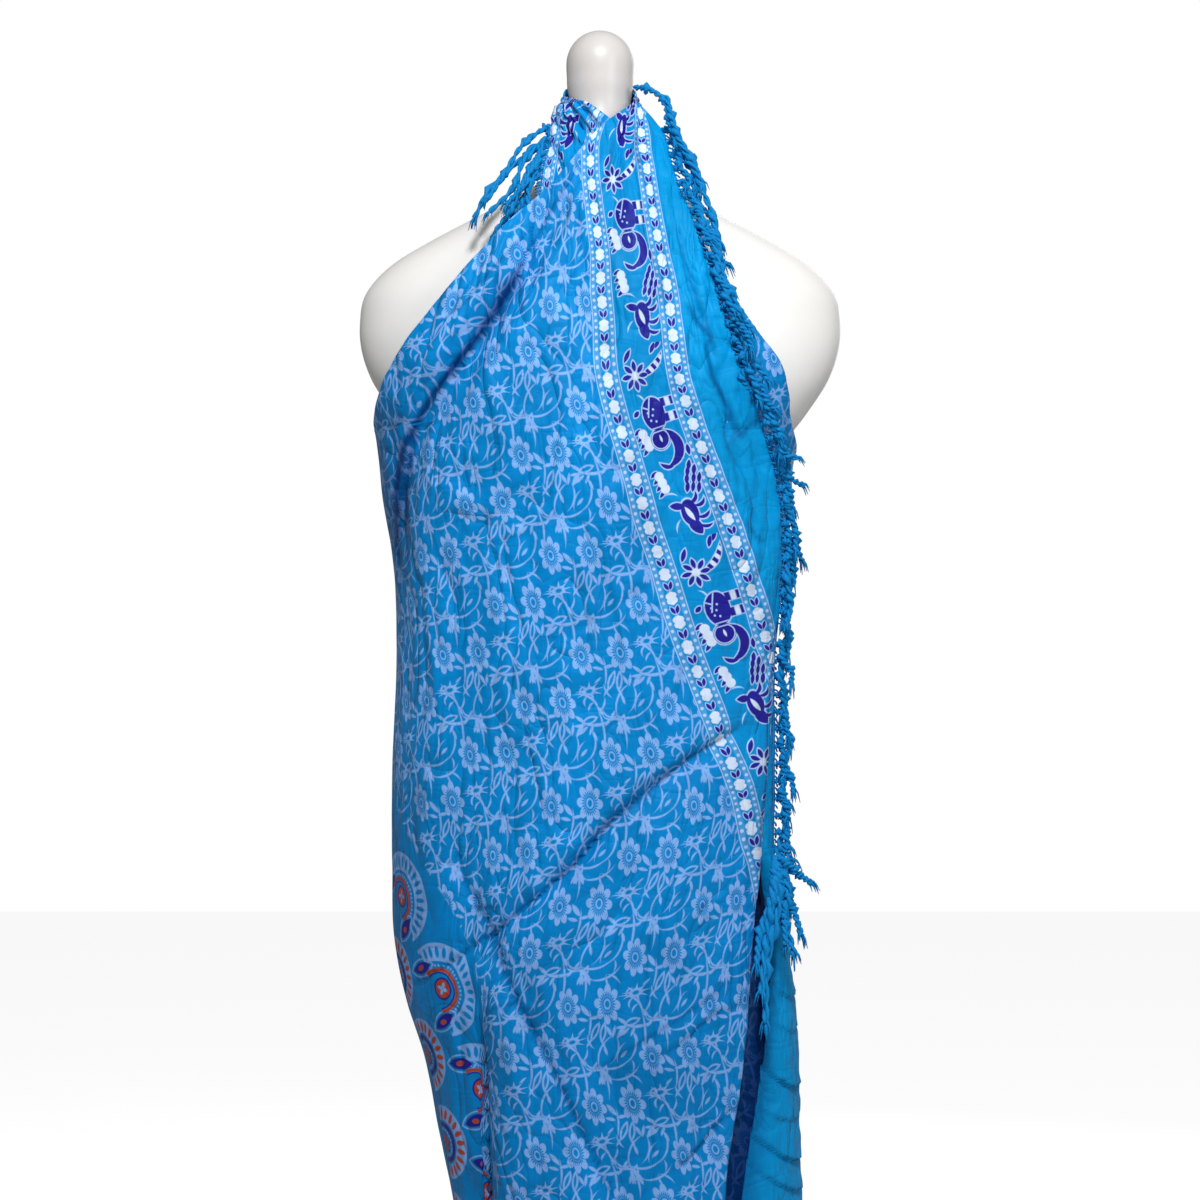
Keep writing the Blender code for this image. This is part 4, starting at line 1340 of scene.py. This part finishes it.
def border_group():
    """The border's white, navy and pale masks, from a place on its own map in metres."""
    tree, entry, leave = group("border_print", ("white", "navy", "pale"))
    across, along, _ = Spot(tree, entry.vector("SCALE", 1 / MM)).parts()
    white, navy, pale, haze = [], [], [], []

    def figure(shape, rim, *holes):
        navy.append(without(shape, *holes))
        pale.append(shape - rim)

    half = CHAIN_PITCH / 2
    for place, phase in ((0.0, 0.0), (CHAIN_GAP, 9.0)):
        side = across - place
        bead = joined(side, (along + phase).wrapped(half, -half))
        white.append(oval(bead, 0, 0, 4.0, 6.0))
        white.append(joined(abs(bead.along(1, 0)) - 2.4, abs(bead.along(0, 1)) - 2.2).length() - 2.5)
        between = joined(abs(side), (along + (phase + half)).wrapped(half, -half))
        figure(leaf(between, 0.6, 3.6, 3.4, -3.8, 3.4), 0.7)
        pale.append(joined(abs(side) - 8.2, along.wrapped(3.2, -3.2)).length() - 1.55)
        pale.append(outline(abs(side) - 11.2, 0.35))
        haze.append(outline(abs(side) - 8.2, 2.6))
    first = joined(across, (along - BORDER_START).wrapped(BORDER_PERIOD, 0.0))
    # The palm: a crown at the left and a banded trunk that curves off to the right.
    crown = first.moved(27.0, 28.0)
    fronds = []
    for turn in (8, 52, 96, 140, 186, 232, 276, 322):
        x, y = math.cos(math.radians(turn)), math.sin(math.radians(turn))
        fronds.append(leaf(crown, 3.5 * x, 3.5 * y, 13.0 * x + 1.5 * y, 13.0 * y - 1.5 * x, 4.2))
    figure(nearest(*fronds), 1.0)
    stem = bow(first, 30.0, 29.0, 56.0, 9.0, -5.0, 6.0)
    bands = (first.along(0.80, -0.60) * (2 * math.pi / 7.4)).sine() * -1.0
    white += [crown.length() - 3.6, stem]
    navy.append(stem.most(bands))
    pale.append(stem - 0.9)
    # The elephant walks to the right, its head down the border and its trunk curled up.
    beast = nearest(
        oval(first, 36.0, 64.0, 11.5, 15.0).most(first.along(1, 0) - 47.0),
        oval(first, 35.0, 87.0, 10.0, 9.5),
        bow(first, 37.0, 80.0, 33.0, 112.0, 15.5, 9.0),
        bow(first, 27.0, 107.0, 40.0, 113.0, -1.5, 5.0),
    )
    legs = [outline(first.along(0, 1) - height, 3.8) for height in (56.0, 70.0)]
    legs = nearest(*legs).most(outline(first.along(1, 0) - 50.0, 8.0))
    cloth_edge = first.along(0.94, 0.34) - 50.0
    seams = nearest(
        outline(cloth_edge, 0.6).most(first.along(0, 1) - 66.0).most(beast),
        outline(first.along(-0.5, 0.86) - 35.0, 0.6).most(cloth_edge).most(beast),
        outline(oval(first, 35.0, 87.0, 9.0, 8.5).most(first.along(0, -1) + 80.0), 0.5),
        outline(first.along(0, 1) - 76.5, 0.5).most(beast),
    )
    eye = leaf(first, 35.0, 83.0, 36.0, 90.0, 2.4)
    studs = [first.far(x, y) - 1.0 for x, y in ((30, 62), (34, 65), (31, 69), (36, 71), (36, 60))]
    stripes = (first.along(1, 0) * (2 * math.pi / 10.0)).sine()
    figure(beast, 1.0, seams, nearest(*studs), eye)
    white += [eye, legs.most(stripes * -1.0)]
    navy.append(legs.most(stripes))
    pale += [legs - 0.8, *studs]
    # A cluster of narrow leaves at the right.
    places = ((53, 116), (50, 121), (56, 121), (47, 127), (53, 128))
    places += ((58, 129), (45, 134), (50, 135), (55, 137))
    figure(nearest(*[leaf(first, x + 2.2, y - 4.5, x - 2.2, y + 4.5, 4.0) for x, y in places]), 0.9)
    # A deer seen from its side, with antlers and a pale patch.
    patch = leaf(first, 37.0, 150.0, 42.0, 164.0, 4.2)
    deer = nearest(
        oval(first, 40.0, 156.0, 7.5, 12.0),
        leaf(first, 38.0, 160.0, 44.0, 177.0, 10.0),
        leaf(first, 24.0, 146.0, 38.0, 150.0, 6.5),
        bow(first, 40.0, 147.0, 50.0, 139.0, -4.0, 3.6),
        bow(first, 45.0, 150.0, 56.0, 146.0, -3.5, 3.4),
        bow(first, 44.0, 160.0, 57.0, 158.0, -3.5, 3.4),
        bow(first, 44.0, 167.0, 56.0, 170.0, -3.0, 3.2),
    )
    figure(deer, 1.0, patch)
    white.append(patch)
    # Pods of three round petals with dark points, at the left, then single leaves and strokes.
    for x, y in ((19.0, 78.0), (22.0, 118.0)):
        pod = nearest(*[oval(first, x + 1.3 * k, y + 6.0 * k, 4.6, 4.4) for k in range(3)])
        points = [leaf(first, x - 1 + k, y - 5 + 6.0 * k, x - 8 + k, y - 1 + 6.5 * k, 3.4) for k in range(4)]
        white.append(pod)
        figure(nearest(*points), 0.8, pod)
    for row in ((18, 16, 25, 5), (50, 6, 56, -4), (45, 10, 50, 0), (58, 98, 57, 108), (16, 62, 22, 58)):
        figure(leaf(first, *row, 4.2), 0.9)
    for row in ((24, 44, 30, 54, 2), (22, 136, 34, 139, 2), (24, 170, 30, 160, 1.5), (52, 106, 62, 104, 1.5)):
        pale.append(bow(first, *row, 1.6))
    field = outline(across - CHAIN_GAP / 2, 49.0).inked(0.6)
    feed(tree, leave[0], nearest(*white).inked(0.8) * field)
    feed(tree, leave[1], nearest(*navy).inked(0.8) * field)
    feed(tree, leave[2], nearest(*pale).inked(0.8).most(nearest(*haze).inked(1.6) * 0.16) * field)
    return tree


# The large rosette low on the left: its centre on the cloth in millimetres, and its count of fans.
ROSETTE = (-500.0, 1055.0)
FANS = 26


def petals_round(place, count, middle, wide, high):
    """Drops set round a place like rays, as a distance in millimetres."""
    radius = place.length()
    step = 2 * math.pi / count
    turn = rays(place, 1.0, step / 2).wrapped(step / 2, -step / 2)
    return oval(joined(turn * radius, radius), 0, middle, wide, high)


def rosette_group():
    """The rosette's pale, red and navy masks and its clear ground, from a place in metres."""
    tree, entry, leave = group("rosette_print", ("pale", "red", "navy", "ground"))
    near = Spot(tree, entry.vector("SCALE", 1 / MM)).moved(*ROSETTE)
    radius = near.length()
    turn = rays(near, 1.0)
    half_step = math.pi / FANS
    pale, red, navy = [], [], []

    def fan(shift, girth, middle):
        return joined((turn + shift).wrapped(half_step, -half_step) * girth, radius - middle)

    # Outer fans: a pale scalloped band with drops left out of it, a dotted arc and a small shield.
    place = fan(0.0, 396.0, 392.0)
    reach = place.length()
    half = place.along(0, -1) - 5.0
    cross = petals_round(place.moved(0, 5.0), 4, 3.0, 1.8, 3.0)
    shield = oval(place, 0, 5.0, 9.5, 8.5)
    side = joined(abs(place.along(1, 0)) - 27.0, place.along(0, 1))
    bean = leaf(side, 3.0, -20.0, -3.0, 4.0, 11.0)
    core = oval(side, 0.5, -9.0, 2.4, 3.6)
    pale += [
        without(outline(reach - 35.0, 8.0), petals_round(place, 30, 35.0, 2.1, 5.2)).most(half),
        petals_round(place, 40, 23.0, 1.1, 1.1).most(half),
        cross,
        outline(bean - 2.6, 0.7),
    ]
    red += [outline(reach - 19.0, 1.5).most(half), without(shield, cross), core]
    navy += [outline(shield, 0.8), outline(reach - 16.4, 0.6).most(half), without(bean, core)]
    # Inner fans: a pale band with red rays, a navy arc, a dotted arc and a red heart.
    place = fan(half_step, 342.0, 334.0)
    reach = place.length()
    half = place.along(0, -1) - 4.0
    tips = petals_round(place, 22, 27.5, 2.2, 5.0).most(half)
    pale += [
        without(outline(reach - 28.0, 6.8), tips).most(half),
        petals_round(place, 20, 12.4, 1.2, 1.3).most(half),
    ]
    red += [tips, petals_round(place, 6, 5.0, 2.0, 4.0).most(half)]
    navy += [
        outline(reach - 17.0, 2.2).most(half),
        outline(petals_round(place, 6, 5.0, 2.6, 4.8), 0.5).most(half),
    ]
    # Beans in a ring, then wavy and plain rings, lace and a heart of eight petals.
    bean = oval(fan(half_step, 285.0, 282.0), 0, 0, 8.5, 13.0)
    lace = petals_round(near, 24, 140.0, 10.0, 20.0)
    heart = petals_round(near, 8, 60.0, 19.0, 34.0)
    pale += [
        outline(bean - 3.2, 0.8),
        outline(radius - ((turn * FANS).sine() * 6.0 + 245.0), 2.4),
        petals_round(near, 52, 226.0, 4.0, 7.5),
        outline(radius - 168.0, 2.0),
        outline(lace, 1.5),
        outline(heart, 2.0),
    ]
    red += [bean, petals_round(near, 40, 188.0, 6.0, 12.0), outline(radius - 108.0, 3.0), heart + 6.0]
    navy += [outline(bean, 1.0), outline(radius - 208.0, 3.0), lace + 5.0, radius - 18.0]
    for slot, shapes in zip(leave, (pale, red, navy)):
        feed(tree, slot, nearest(*shapes).inked(0.9))
    feed(tree, leave[3], (radius - 446.0).inked(2.0))
    return tree


def layered(tree, below, mask, colour, name="MIX"):
    """A colour laid over another by a mask."""
    node = tree.nodes.new("ShaderNodeMix")
    node.data_type = "RGBA"
    node.blend_type = name
    feed(tree, node.inputs[0], mask)
    feed(tree, node.inputs[6], below)
    feed(tree, node.inputs[7], colour)
    return node.outputs[2]


def uv(tree, label):
    """One of a piece's own maps."""
    node = tree.nodes.new("ShaderNodeUVMap")
    node.uv_map = label
    return node.outputs[0]


def placed(tree, made, source):
    """A node group set in a tree and fed with a place."""
    node = tree.nodes.new("ShaderNodeGroup")
    node.node_tree = made
    feed(tree, node.inputs[0], source)
    return node


def cloud(tree, place, detail, scale=1.0, twist=0.0, flat=False):
    """Soft noise at a place, from 0 to 1."""
    node = tree.nodes.new("ShaderNodeTexNoise")
    node.noise_dimensions = "2D" if flat else "3D"
    settle(tree, node, {"Vector": place, "Scale": scale, "Detail": detail, "Distortion": twist})
    return Term(tree, node.outputs["Fac"])


def bumped(tree, height, strength, distance, below=None):
    """A normal bent by a height in metres, laid over another normal."""
    node = tree.nodes.new("ShaderNodeBump")
    settle(tree, node, {"Height": height, "Strength": strength, "Distance": distance})
    if below is not None:
        tree.links.new(below, node.inputs["Normal"])
    return node.outputs[0]


def weave_group():
    """A fine plain weave with uneven threads: a height and a slight tint, from a place in metres."""
    tree, spot, leave = group("fine_weave", ("height", "tint"))
    across, along, _ = Spot(tree, spot.vector("SCALE", 2 * math.pi / THREAD_PITCH)).parts()
    height = across.sine() * along.sine() * 0.5 + 0.5
    slubs = [
        cloud(tree, spot.stretched(wide, high), 2.0, flat=True)
        for wide, high in ((1600.0, 60.0), (60.0, 1600.0), (45.0, 45.0))
    ]
    tint = (slubs[0] + slubs[1] + slubs[2]) * (1 / 3)
    feed(tree, leave[0], height * 0.4 + tint * 1.2)
    feed(tree, leave[1], tint)
    return tree


def crumple_group():
    """Small soft wrinkles, lying mostly up and down the cloth: a height, from a place in metres."""
    tree, spot, leave = group("soft_wrinkles", ("height",))
    ridges = []
    grains = ((15.0, 6.0, 0.62, 1.6), (40.0, 15.0, 0.21, 1.2), (18.0, 50.0, 0.10, 0.8))
    for wide, high, share, twist in grains:
        noise_at = cloud(tree, spot.stretched(wide, high), 1.0, twist=twist, flat=True)
        ridges.append(abs(noise_at - 0.5).power(0.7) * share)
    feed(tree, leave[0], ridges[0] + ridges[1] + ridges[2])
    return tree


def cloth_shader(tree, colour, weave, roughness):
    """The cloth's finish: uneven colour, broad painted light and shade, painted shade in its folds, with a
    fine bump, wrinkles and a sheen.
    """
    cloth = uv(tree, "cloth")
    weave = placed(tree, weave, cloth)
    swing = Term(tree, weave.outputs["tint"]) * 0.5 + 0.75
    # Broad random patches of painted light and shade over the cloth's colour.
    light_and_shade_patches = cloud(tree, Spot(tree, cloth).stretched(16.0, 7.0), 1.0, flat=True)
    # The shade attribute is painted shade: it multiplies the colour towards a dark blue.
    depth = tree.nodes.new("ShaderNodeAttribute")
    depth.attribute_name = "shade"
    colour = layered(tree, colour, depth.outputs["Fac"], PAINTED_SHADE_COLOUR, "MULTIPLY")
    tone = Spot(tree, colour).vector("SCALE", swing * (light_and_shade_patches * 0.40 + 0.82))
    wrinkles = placed(tree, crumple_group(), cloth)
    broad = bumped(tree, wrinkles.outputs[0], 1.0, 0.0108)
    finish = {
        "Base Color": tone,
        "Normal": bumped(tree, weave.outputs["height"], 0.25, 0.0002, broad),
        "Roughness": roughness,
        "Specular IOR Level": 0.2,
        "Specular Tint": (0.30, 0.72, 1.0, 1),
        "Sheen Weight": 0.03,
        "Sheen Roughness": 0.45,
        "Sheen Tint": (0.55, 0.80, 1.0, 1),
    }
    settle(tree, tree.nodes["Principled BSDF"], finish)


PRINT_GROUND = (0.001, 0.225, 0.600, 1)
PLAIN_GROUND = (0.0007, 0.288, 0.655, 1)
INK = (0.225, 0.440, 0.870, 1)
INK_PALE = (0.450, 0.640, 0.960, 1)
WHITE = (0.640, 0.760, 0.960, 1)
NAVY = (0.018, 0.012, 0.290, 1)
RED = (0.480, 0.062, 0.010, 1)
TURNING_GROUND = (0.001, 0.262, 0.640, 1)
# The dark blue of the painted shade in the cloth's folds, pockets and gaps.
PAINTED_SHADE_COLOUR = (0.0, 0.06, 0.20, 1)
THREAD_PITCH = 0.00055


def printed_look(weave):
    """The printed rayon: floral field, border and rosette on blue."""
    made = flat_shader("printed_rayon_look", PRINT_GROUND[:3], 0.6)
    tree = made.node_tree
    cloth, band = uv(tree, "cloth"), uv(tree, "band")
    border = placed(tree, border_group(), band).outputs
    rosette = placed(tree, rosette_group(), cloth).outputs
    floral = placed(tree, floral_group(), cloth).outputs
    across = Spot(tree, band).parts()[0] * (1 / MM)
    beyond = (across * -1.0 + FIELD_END).inked(2.0)
    plain = (across * -1.0 + PLAIN_START).inked(1.0)
    field = Term(tree, floral["ink"]) * (1.0 - Term(tree, rosette["ground"])) * (1.0 - beyond)
    colour = PRINT_GROUND
    for mask, ink in (
        (field, INK),
        (rosette["pale"], INK),
        (rosette["red"], RED),
        (rosette["navy"], NAVY),
        (beyond, TURNING_GROUND),
        (border["pale"], INK_PALE),
        (border["white"], WHITE),
        (border["navy"], NAVY),
        (plain, PLAIN_GROUND),
    ):
        colour = layered(tree, colour, mask, ink)
    cloth_shader(tree, colour, weave, 0.46)
    return made


def plain_look(weave):
    """The plain rayon of the border's outer strip."""
    made = flat_shader("plain_rayon_look", PLAIN_GROUND[:3], 0.6)
    cloth_shader(made.node_tree, PLAIN_GROUND, weave, 0.44)
    return made


def object_place(tree):
    """A point's own place on the object, in metres."""
    return Spot(tree, tree.nodes.new("ShaderNodeTexCoord").outputs["Object"])


def thread_look():
    """Twisted rayon thread, darker and lighter in small random patches."""
    made = flat_shader("fringe_thread_look", (0.002, 0.20, 0.47), 0.62)
    tree = made.node_tree
    strands = cloud(tree, object_place(tree), 3.0, 900.0)
    finish = {
        "Base Color": layered(tree, (0.0005, 0.10, 0.36, 1), strands, (0.002, 0.36, 0.78, 1)),
        "Normal": bumped(tree, strands, 0.8, 0.0006),
        "Specular IOR Level": 0.15,
        "Sheen Weight": 0.04,
        "Sheen Tint": (0.4, 0.8, 1.0, 1),
    }
    settle(tree, tree.nodes["Principled BSDF"], finish)
    return made


def shell_look():
    """The form's satin shell: off-white, faintly mottled and scuffed, with painted shade at its neck."""
    made = flat_shader("form_shell_look", (0.86, 0.855, 0.83), 0.42)
    tree = made.node_tree
    spot = object_place(tree)
    mottle = cloud(tree, spot, 4.0, 9.0)
    colour = layered(tree, (0.86, 0.85, 0.82, 1), mottle, (0.93, 0.925, 0.905, 1))
    # Painted shade: the neck above its base is painted darker.
    neck = ((spot.parts()[2] - 1.455) * 30.0).most(0.0).least(1.0)
    finish = {
        "Base Color": layered(tree, colour, neck, (0.66, 0.635, 0.615, 1)),
        "Roughness": mottle * 0.18 + 0.30,
        "Normal": bumped(tree, cloud(tree, spot, 3.0, 420.0), 0.15, 0.0003),
        "Coat Weight": 0.15,
        "Coat Roughness": 0.3,
    }
    settle(tree, tree.nodes["Principled BSDF"], finish)
    return made


def steel_look():
    """Polished steel with faint turned lines and light wear."""
    made = flat_shader("stand_steel_look", (0.72, 0.73, 0.75), 0.22, 1.0)
    tree = made.node_tree
    lines = cloud(tree, object_place(tree).stretched(20, 20, 1400), 4.0)
    settle(tree, tree.nodes["Principled BSDF"], {"Roughness": lines * 0.22 + 0.12})
    return made


def enamel_look():
    """White satin enamel with a fine orange peel and small scuffs."""
    made = flat_shader("stand_enamel_look", (0.84, 0.84, 0.83), 0.35)
    tree = made.node_tree
    spot = object_place(tree)
    scuffs = cloud(tree, spot, 8.0, 30.0)
    finish = {
        "Base Color": layered(tree, (0.86, 0.86, 0.85, 1), scuffs, (0.79, 0.79, 0.78, 1)),
        "Roughness": scuffs * 0.3 + 0.22,
        "Normal": bumped(tree, cloud(tree, spot, 2.0, 260.0), 0.1, 0.0004),
    }
    settle(tree, tree.nodes["Principled BSDF"], finish)
    return made


def torso(finish):
    """The smooth armless form with its rounded neck, as one fine loft through its sections."""
    cap_radius, cap_centre = 31.0, 1549
    stretches = ((1546, 1440, 30), (1436, 1180, 64), (1170, 750, 60))
    z = np.concatenate([np.linspace(*stretch) for stretch in stretches])
    dome = np.radians(np.linspace(88.5, 4, 22))
    extents = []
    for name in ("width", "front", "back"):
        extent = eased(FORM, name, z)
        extent = extent + (cap_radius - extent) * ramp(z, 1533, 1546)
        extents.append(np.concatenate([cap_radius * np.cos(dome), extent, [extent[-1] - 3]]))
    half, fore, aft = extents
    z = np.concatenate([cap_centre + cap_radius * np.sin(dome), z, [748.8]])

    def place(k, angle):
        depth = (fore if math.sin(angle) < 0 else aft)[k]
        return half[k] * math.cos(angle) * MM, depth * math.sin(angle) * MM, z[k] * MM

    finished(lofted(len(z), FORM_SIDES, place), "torso", finish, "form_shell", "form_torso", "neck_cap")


def turned(name, profile, node, finish, steps=96):
    """A turned piece from a profile of radius and height, spun round the form's axis."""
    bpy.ops.object.select_all(action="DESELECT")
    mesh = bpy.data.meshes.new(name)
    spots = [(radius * MM, 0, height * MM) for radius, height in profile]
    mesh.from_pydata(spots, [(i, i + 1) for i in range(len(spots) - 1)], [])
    piece = bpy.data.objects.new(name, mesh)
    bpy.context.scene.collection.objects.link(piece)
    bpy.context.view_layer.objects.active = piece
    piece.select_set(True)
    spin = piece.modifiers.new("spin", "SCREW")
    spin.steps = spin.render_steps = steps
    spin.use_merge_vertices = True
    spin.merge_threshold = 0.00002
    spin.use_smooth_shade = True
    bpy.ops.object.modifier_apply(modifier=spin.name)
    bpy.ops.object.mode_set(mode="EDIT")
    bpy.ops.mesh.select_all(action="SELECT")
    bpy.ops.mesh.normals_make_consistent(inside=False)
    bpy.ops.object.mode_set(mode="OBJECT")
    bpy.ops.object.shade_smooth_by_angle(angle=math.radians(30))
    dress(piece, finish)
    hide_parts(node)


def corner(radius_at, height_at, radius, start, end, count=6):
    """An arc of a turned profile, in radius and height, from a start to an end angle in degrees."""
    angles = np.radians(np.linspace(start, end, count))
    return [(radius_at + radius * math.cos(a), height_at + radius * math.sin(a)) for a in angles]


def stand(steel, enamel):
    """The pole with its collar and the round base."""
    pole = [(0, 749.7)] + corner(11.5, 748.7, 1.0, 90, 0) + [(12.5, 12.3), (0, 12.3)]
    turned("pole", pole, "stand_pole", steel)
    collar = [(12.8, 52)] + corner(19, 49, 3.0, 90, 0) + [(22, 24)]
    flare = np.radians(np.linspace(10, 90, 8))
    collar += [(22 + 12 * (1 - math.cos(a)), 24 - 11 * math.sin(a)) for a in flare]
    collar += [(34, 12.3), (12.8, 12.3), (12.8, 52)]
    turned("collar", collar, "stand_collar", steel)
    base = [(0, 12)] + corner(156, 8, 4.0, 90, 0) + corner(158.5, 1.5, 1.5, 0, -90) + [(0, 0)]
    turned("base_plate", base, "stand_base", enamel, 160)


def bundle(name, stations, node, finish, turn):
    """A gathered bundle of cloth through oval stations, pleated lengthwise."""
    steps, sides, folds, depth = 40, 56, 7, 0.07

    def place(k, angle):
        t = k / steps * (len(stations) - 1)
        i = min(int(t), len(stations) - 2)
        share = t - i
        share = share * share * (3 - 2 * share)
        x, y, z, wide, thick = [a + (b - a) * share for a, b in zip(stations[i], stations[i + 1])]
        pleat = 1 + depth * math.sin(folds * angle + turn + 1.2 * math.sin(k / 7 + turn))
        spot = Vector((x + wide * pleat * math.cos(angle), y + thick * pleat * math.sin(angle), z))
        spot.y += 2.5 * math.cos(2 * angle) * (thick / 4.0 if thick < 4.0 else 0.4)
        return spot * MM

    finished(lofted(steps + 1, sides, place), name, finish, "printed_rayon", node, printed=True)


def plain_maps(mesh):
    """Maps for a bundle, taken from its own place, so that the print runs over it."""
    for label in ("cloth", "band"):
        layer = mesh.uv_layers.new(name=label)
        for loop in mesh.loops:
            spot = mesh.vertices[loop.vertex_index].co
            across = spot.x * 2.2 if label == "cloth" else -0.6
            layer.data[loop.index].uv = (across, CLOTH_TOP * MM - spot.z)


def neck_tie(finish):
    """The knot behind the neck and its two tails."""
    steps, sides = 34, 48

    def place(k, angle):
        turn = -1 + 2 * k / steps
        reach = math.sqrt(max(1 - turn * turn, 0.012))
        waist = 0.18 * math.exp(-((turn / 0.25) ** 2))
        creases = 0.07 * math.exp(-(((abs(turn) - 0.6) / 0.08) ** 2))
        reach *= 1 - waist - creases
        pleat = 1 + 0.045 * math.sin(7 * angle + 5 * turn)
        y = KNOT_Y + KNOT_DEPTH * reach * pleat * math.cos(angle)
        z = KNOT_Z + KNOT_HIGH * reach * pleat * math.sin(angle)
        return Vector((KNOT_HALF * turn, y, z)) * MM

    knot = lofted(steps + 1, sides, place)
    finished(knot, "knot", finish, "printed_rayon", "neck_knot", printed=True)
    for name, side in (("tail_left", -1), ("tail_right", 1)):
        stations = [
            (side * 12, 42, 1507, 8, 5),
            (side * 15, 44, 1492, 11, 4.5),
            (side * 21, 49, 1472, 15, 4),
            (side * 26, 57, 1446, 19, 3.5),
            (side * 29, 67, 1418, 16, 3),
            (side * 31, 76, 1396, 6, 3),
        ]
        bundle(name, stations, "tie_" + name, finish, side)


def studio():
    """A pale floor, soft light and the camera at the photo's angle."""
    scene = bpy.context.scene
    scene.view_settings.view_transform = "Standard"
    scene.world = bpy.data.worlds.new("studio")
    scene.world.use_nodes = True
    tree = scene.world.node_tree
    seen = Term(tree, tree.nodes.new("ShaderNodeLightPath").outputs["Is Camera Ray"])
    settle(tree, tree.nodes["Background"], {"Color": (1.0, 1.0, 1.0, 1), "Strength": seen * 0.78 + 0.22})
    bpy.ops.object.select_all(action="DESELECT")
    bpy.ops.mesh.primitive_plane_add(size=14, location=(0, 0, -0.0005))
    floor = bpy.context.object
    floor.name = "floor"
    paper = flat_shader("floor_paper", (0.62, 0.62, 0.62), 0.8)
    tree = paper.node_tree
    seen = Term(tree, tree.nodes.new("ShaderNodeLightPath").outputs["Is Camera Ray"])
    glow = {"Emission Color": (1, 1, 1, 1), "Emission Strength": seen * 0.78}
    settle(tree, tree.nodes["Principled BSDF"], glow)
    floor.data.materials.append(paper)
    for name, spot, size, power in (
        ("key_light", (0.05, -2.0, 2.9), 0.55, 57),
        ("fill_light", (1.9, -2.3, 1.9), 0.9, 19),
        ("back_light", (0.9, 2.6, 1.9), 1.6, 12),
    ):
        light = bpy.data.lights.new(name, "AREA")
        light.size = size
        light.energy = power
        lamp = bpy.data.objects.new(name, light)
        scene.collection.objects.link(lamp)
        lamp.location = spot
        lamp.rotation_euler = (Vector((0, 0, 1.05)) - Vector(spot)).to_track_quat("-Z", "Y").to_euler()
    lens = bpy.data.cameras.new("camera")
    lens.lens = LENS
    lens.sensor_width = SENSOR
    camera = bpy.data.objects.new("camera", lens)
    scene.collection.objects.link(camera)
    distance = FRAME_WIDTH * LENS / SENSOR
    camera.location = (0.0, -distance - 0.06, 1.056)
    camera.rotation_euler = (math.radians(90), 0, 0)
    scene.camera = camera


def main():
    """Build every piece."""
    studio()
    weave = weave_group()
    printed = printed_look(weave)
    plain = plain_look(weave)
    thread = thread_look()
    shell_finish = shell_look()
    steel = steel_look()
    enamel = enamel_look()

    front, flat = build_front()
    shade = front_shade(front)
    front_piece = shell("outer_end", front, flat, "front", "front_wrap", printed, shade)
    under, flat = build_under()
    shade = gap_shade(under)
    under_piece = shell("inner_end", under, flat, "under", "under_wrap", printed, shade)
    back = build_back()
    back_piece = shell("back", back, back, "back", "back_wrap", printed)
    strip, flat = build_strip()
    shade = strip_shade(strip)
    strip_piece = shell("turned_strip", strip, flat, "strip", "plain_strip", plain, shade)

    threads("tassels_outer", *outer_tassels(front), 11, "fringe_outer_end", thread, 2.7)
    threads("tassels_outer_low", *lower_tassels(strip), 12, "fringe_outer_end_low", thread, 2.7)
    threads("tassels_inner", *inner_tassels(under), 13, "fringe_inner_end", thread, 2.4)

    neck_tie(printed)
    torso(shell_finish)
    stand(steel, enamel)


main()
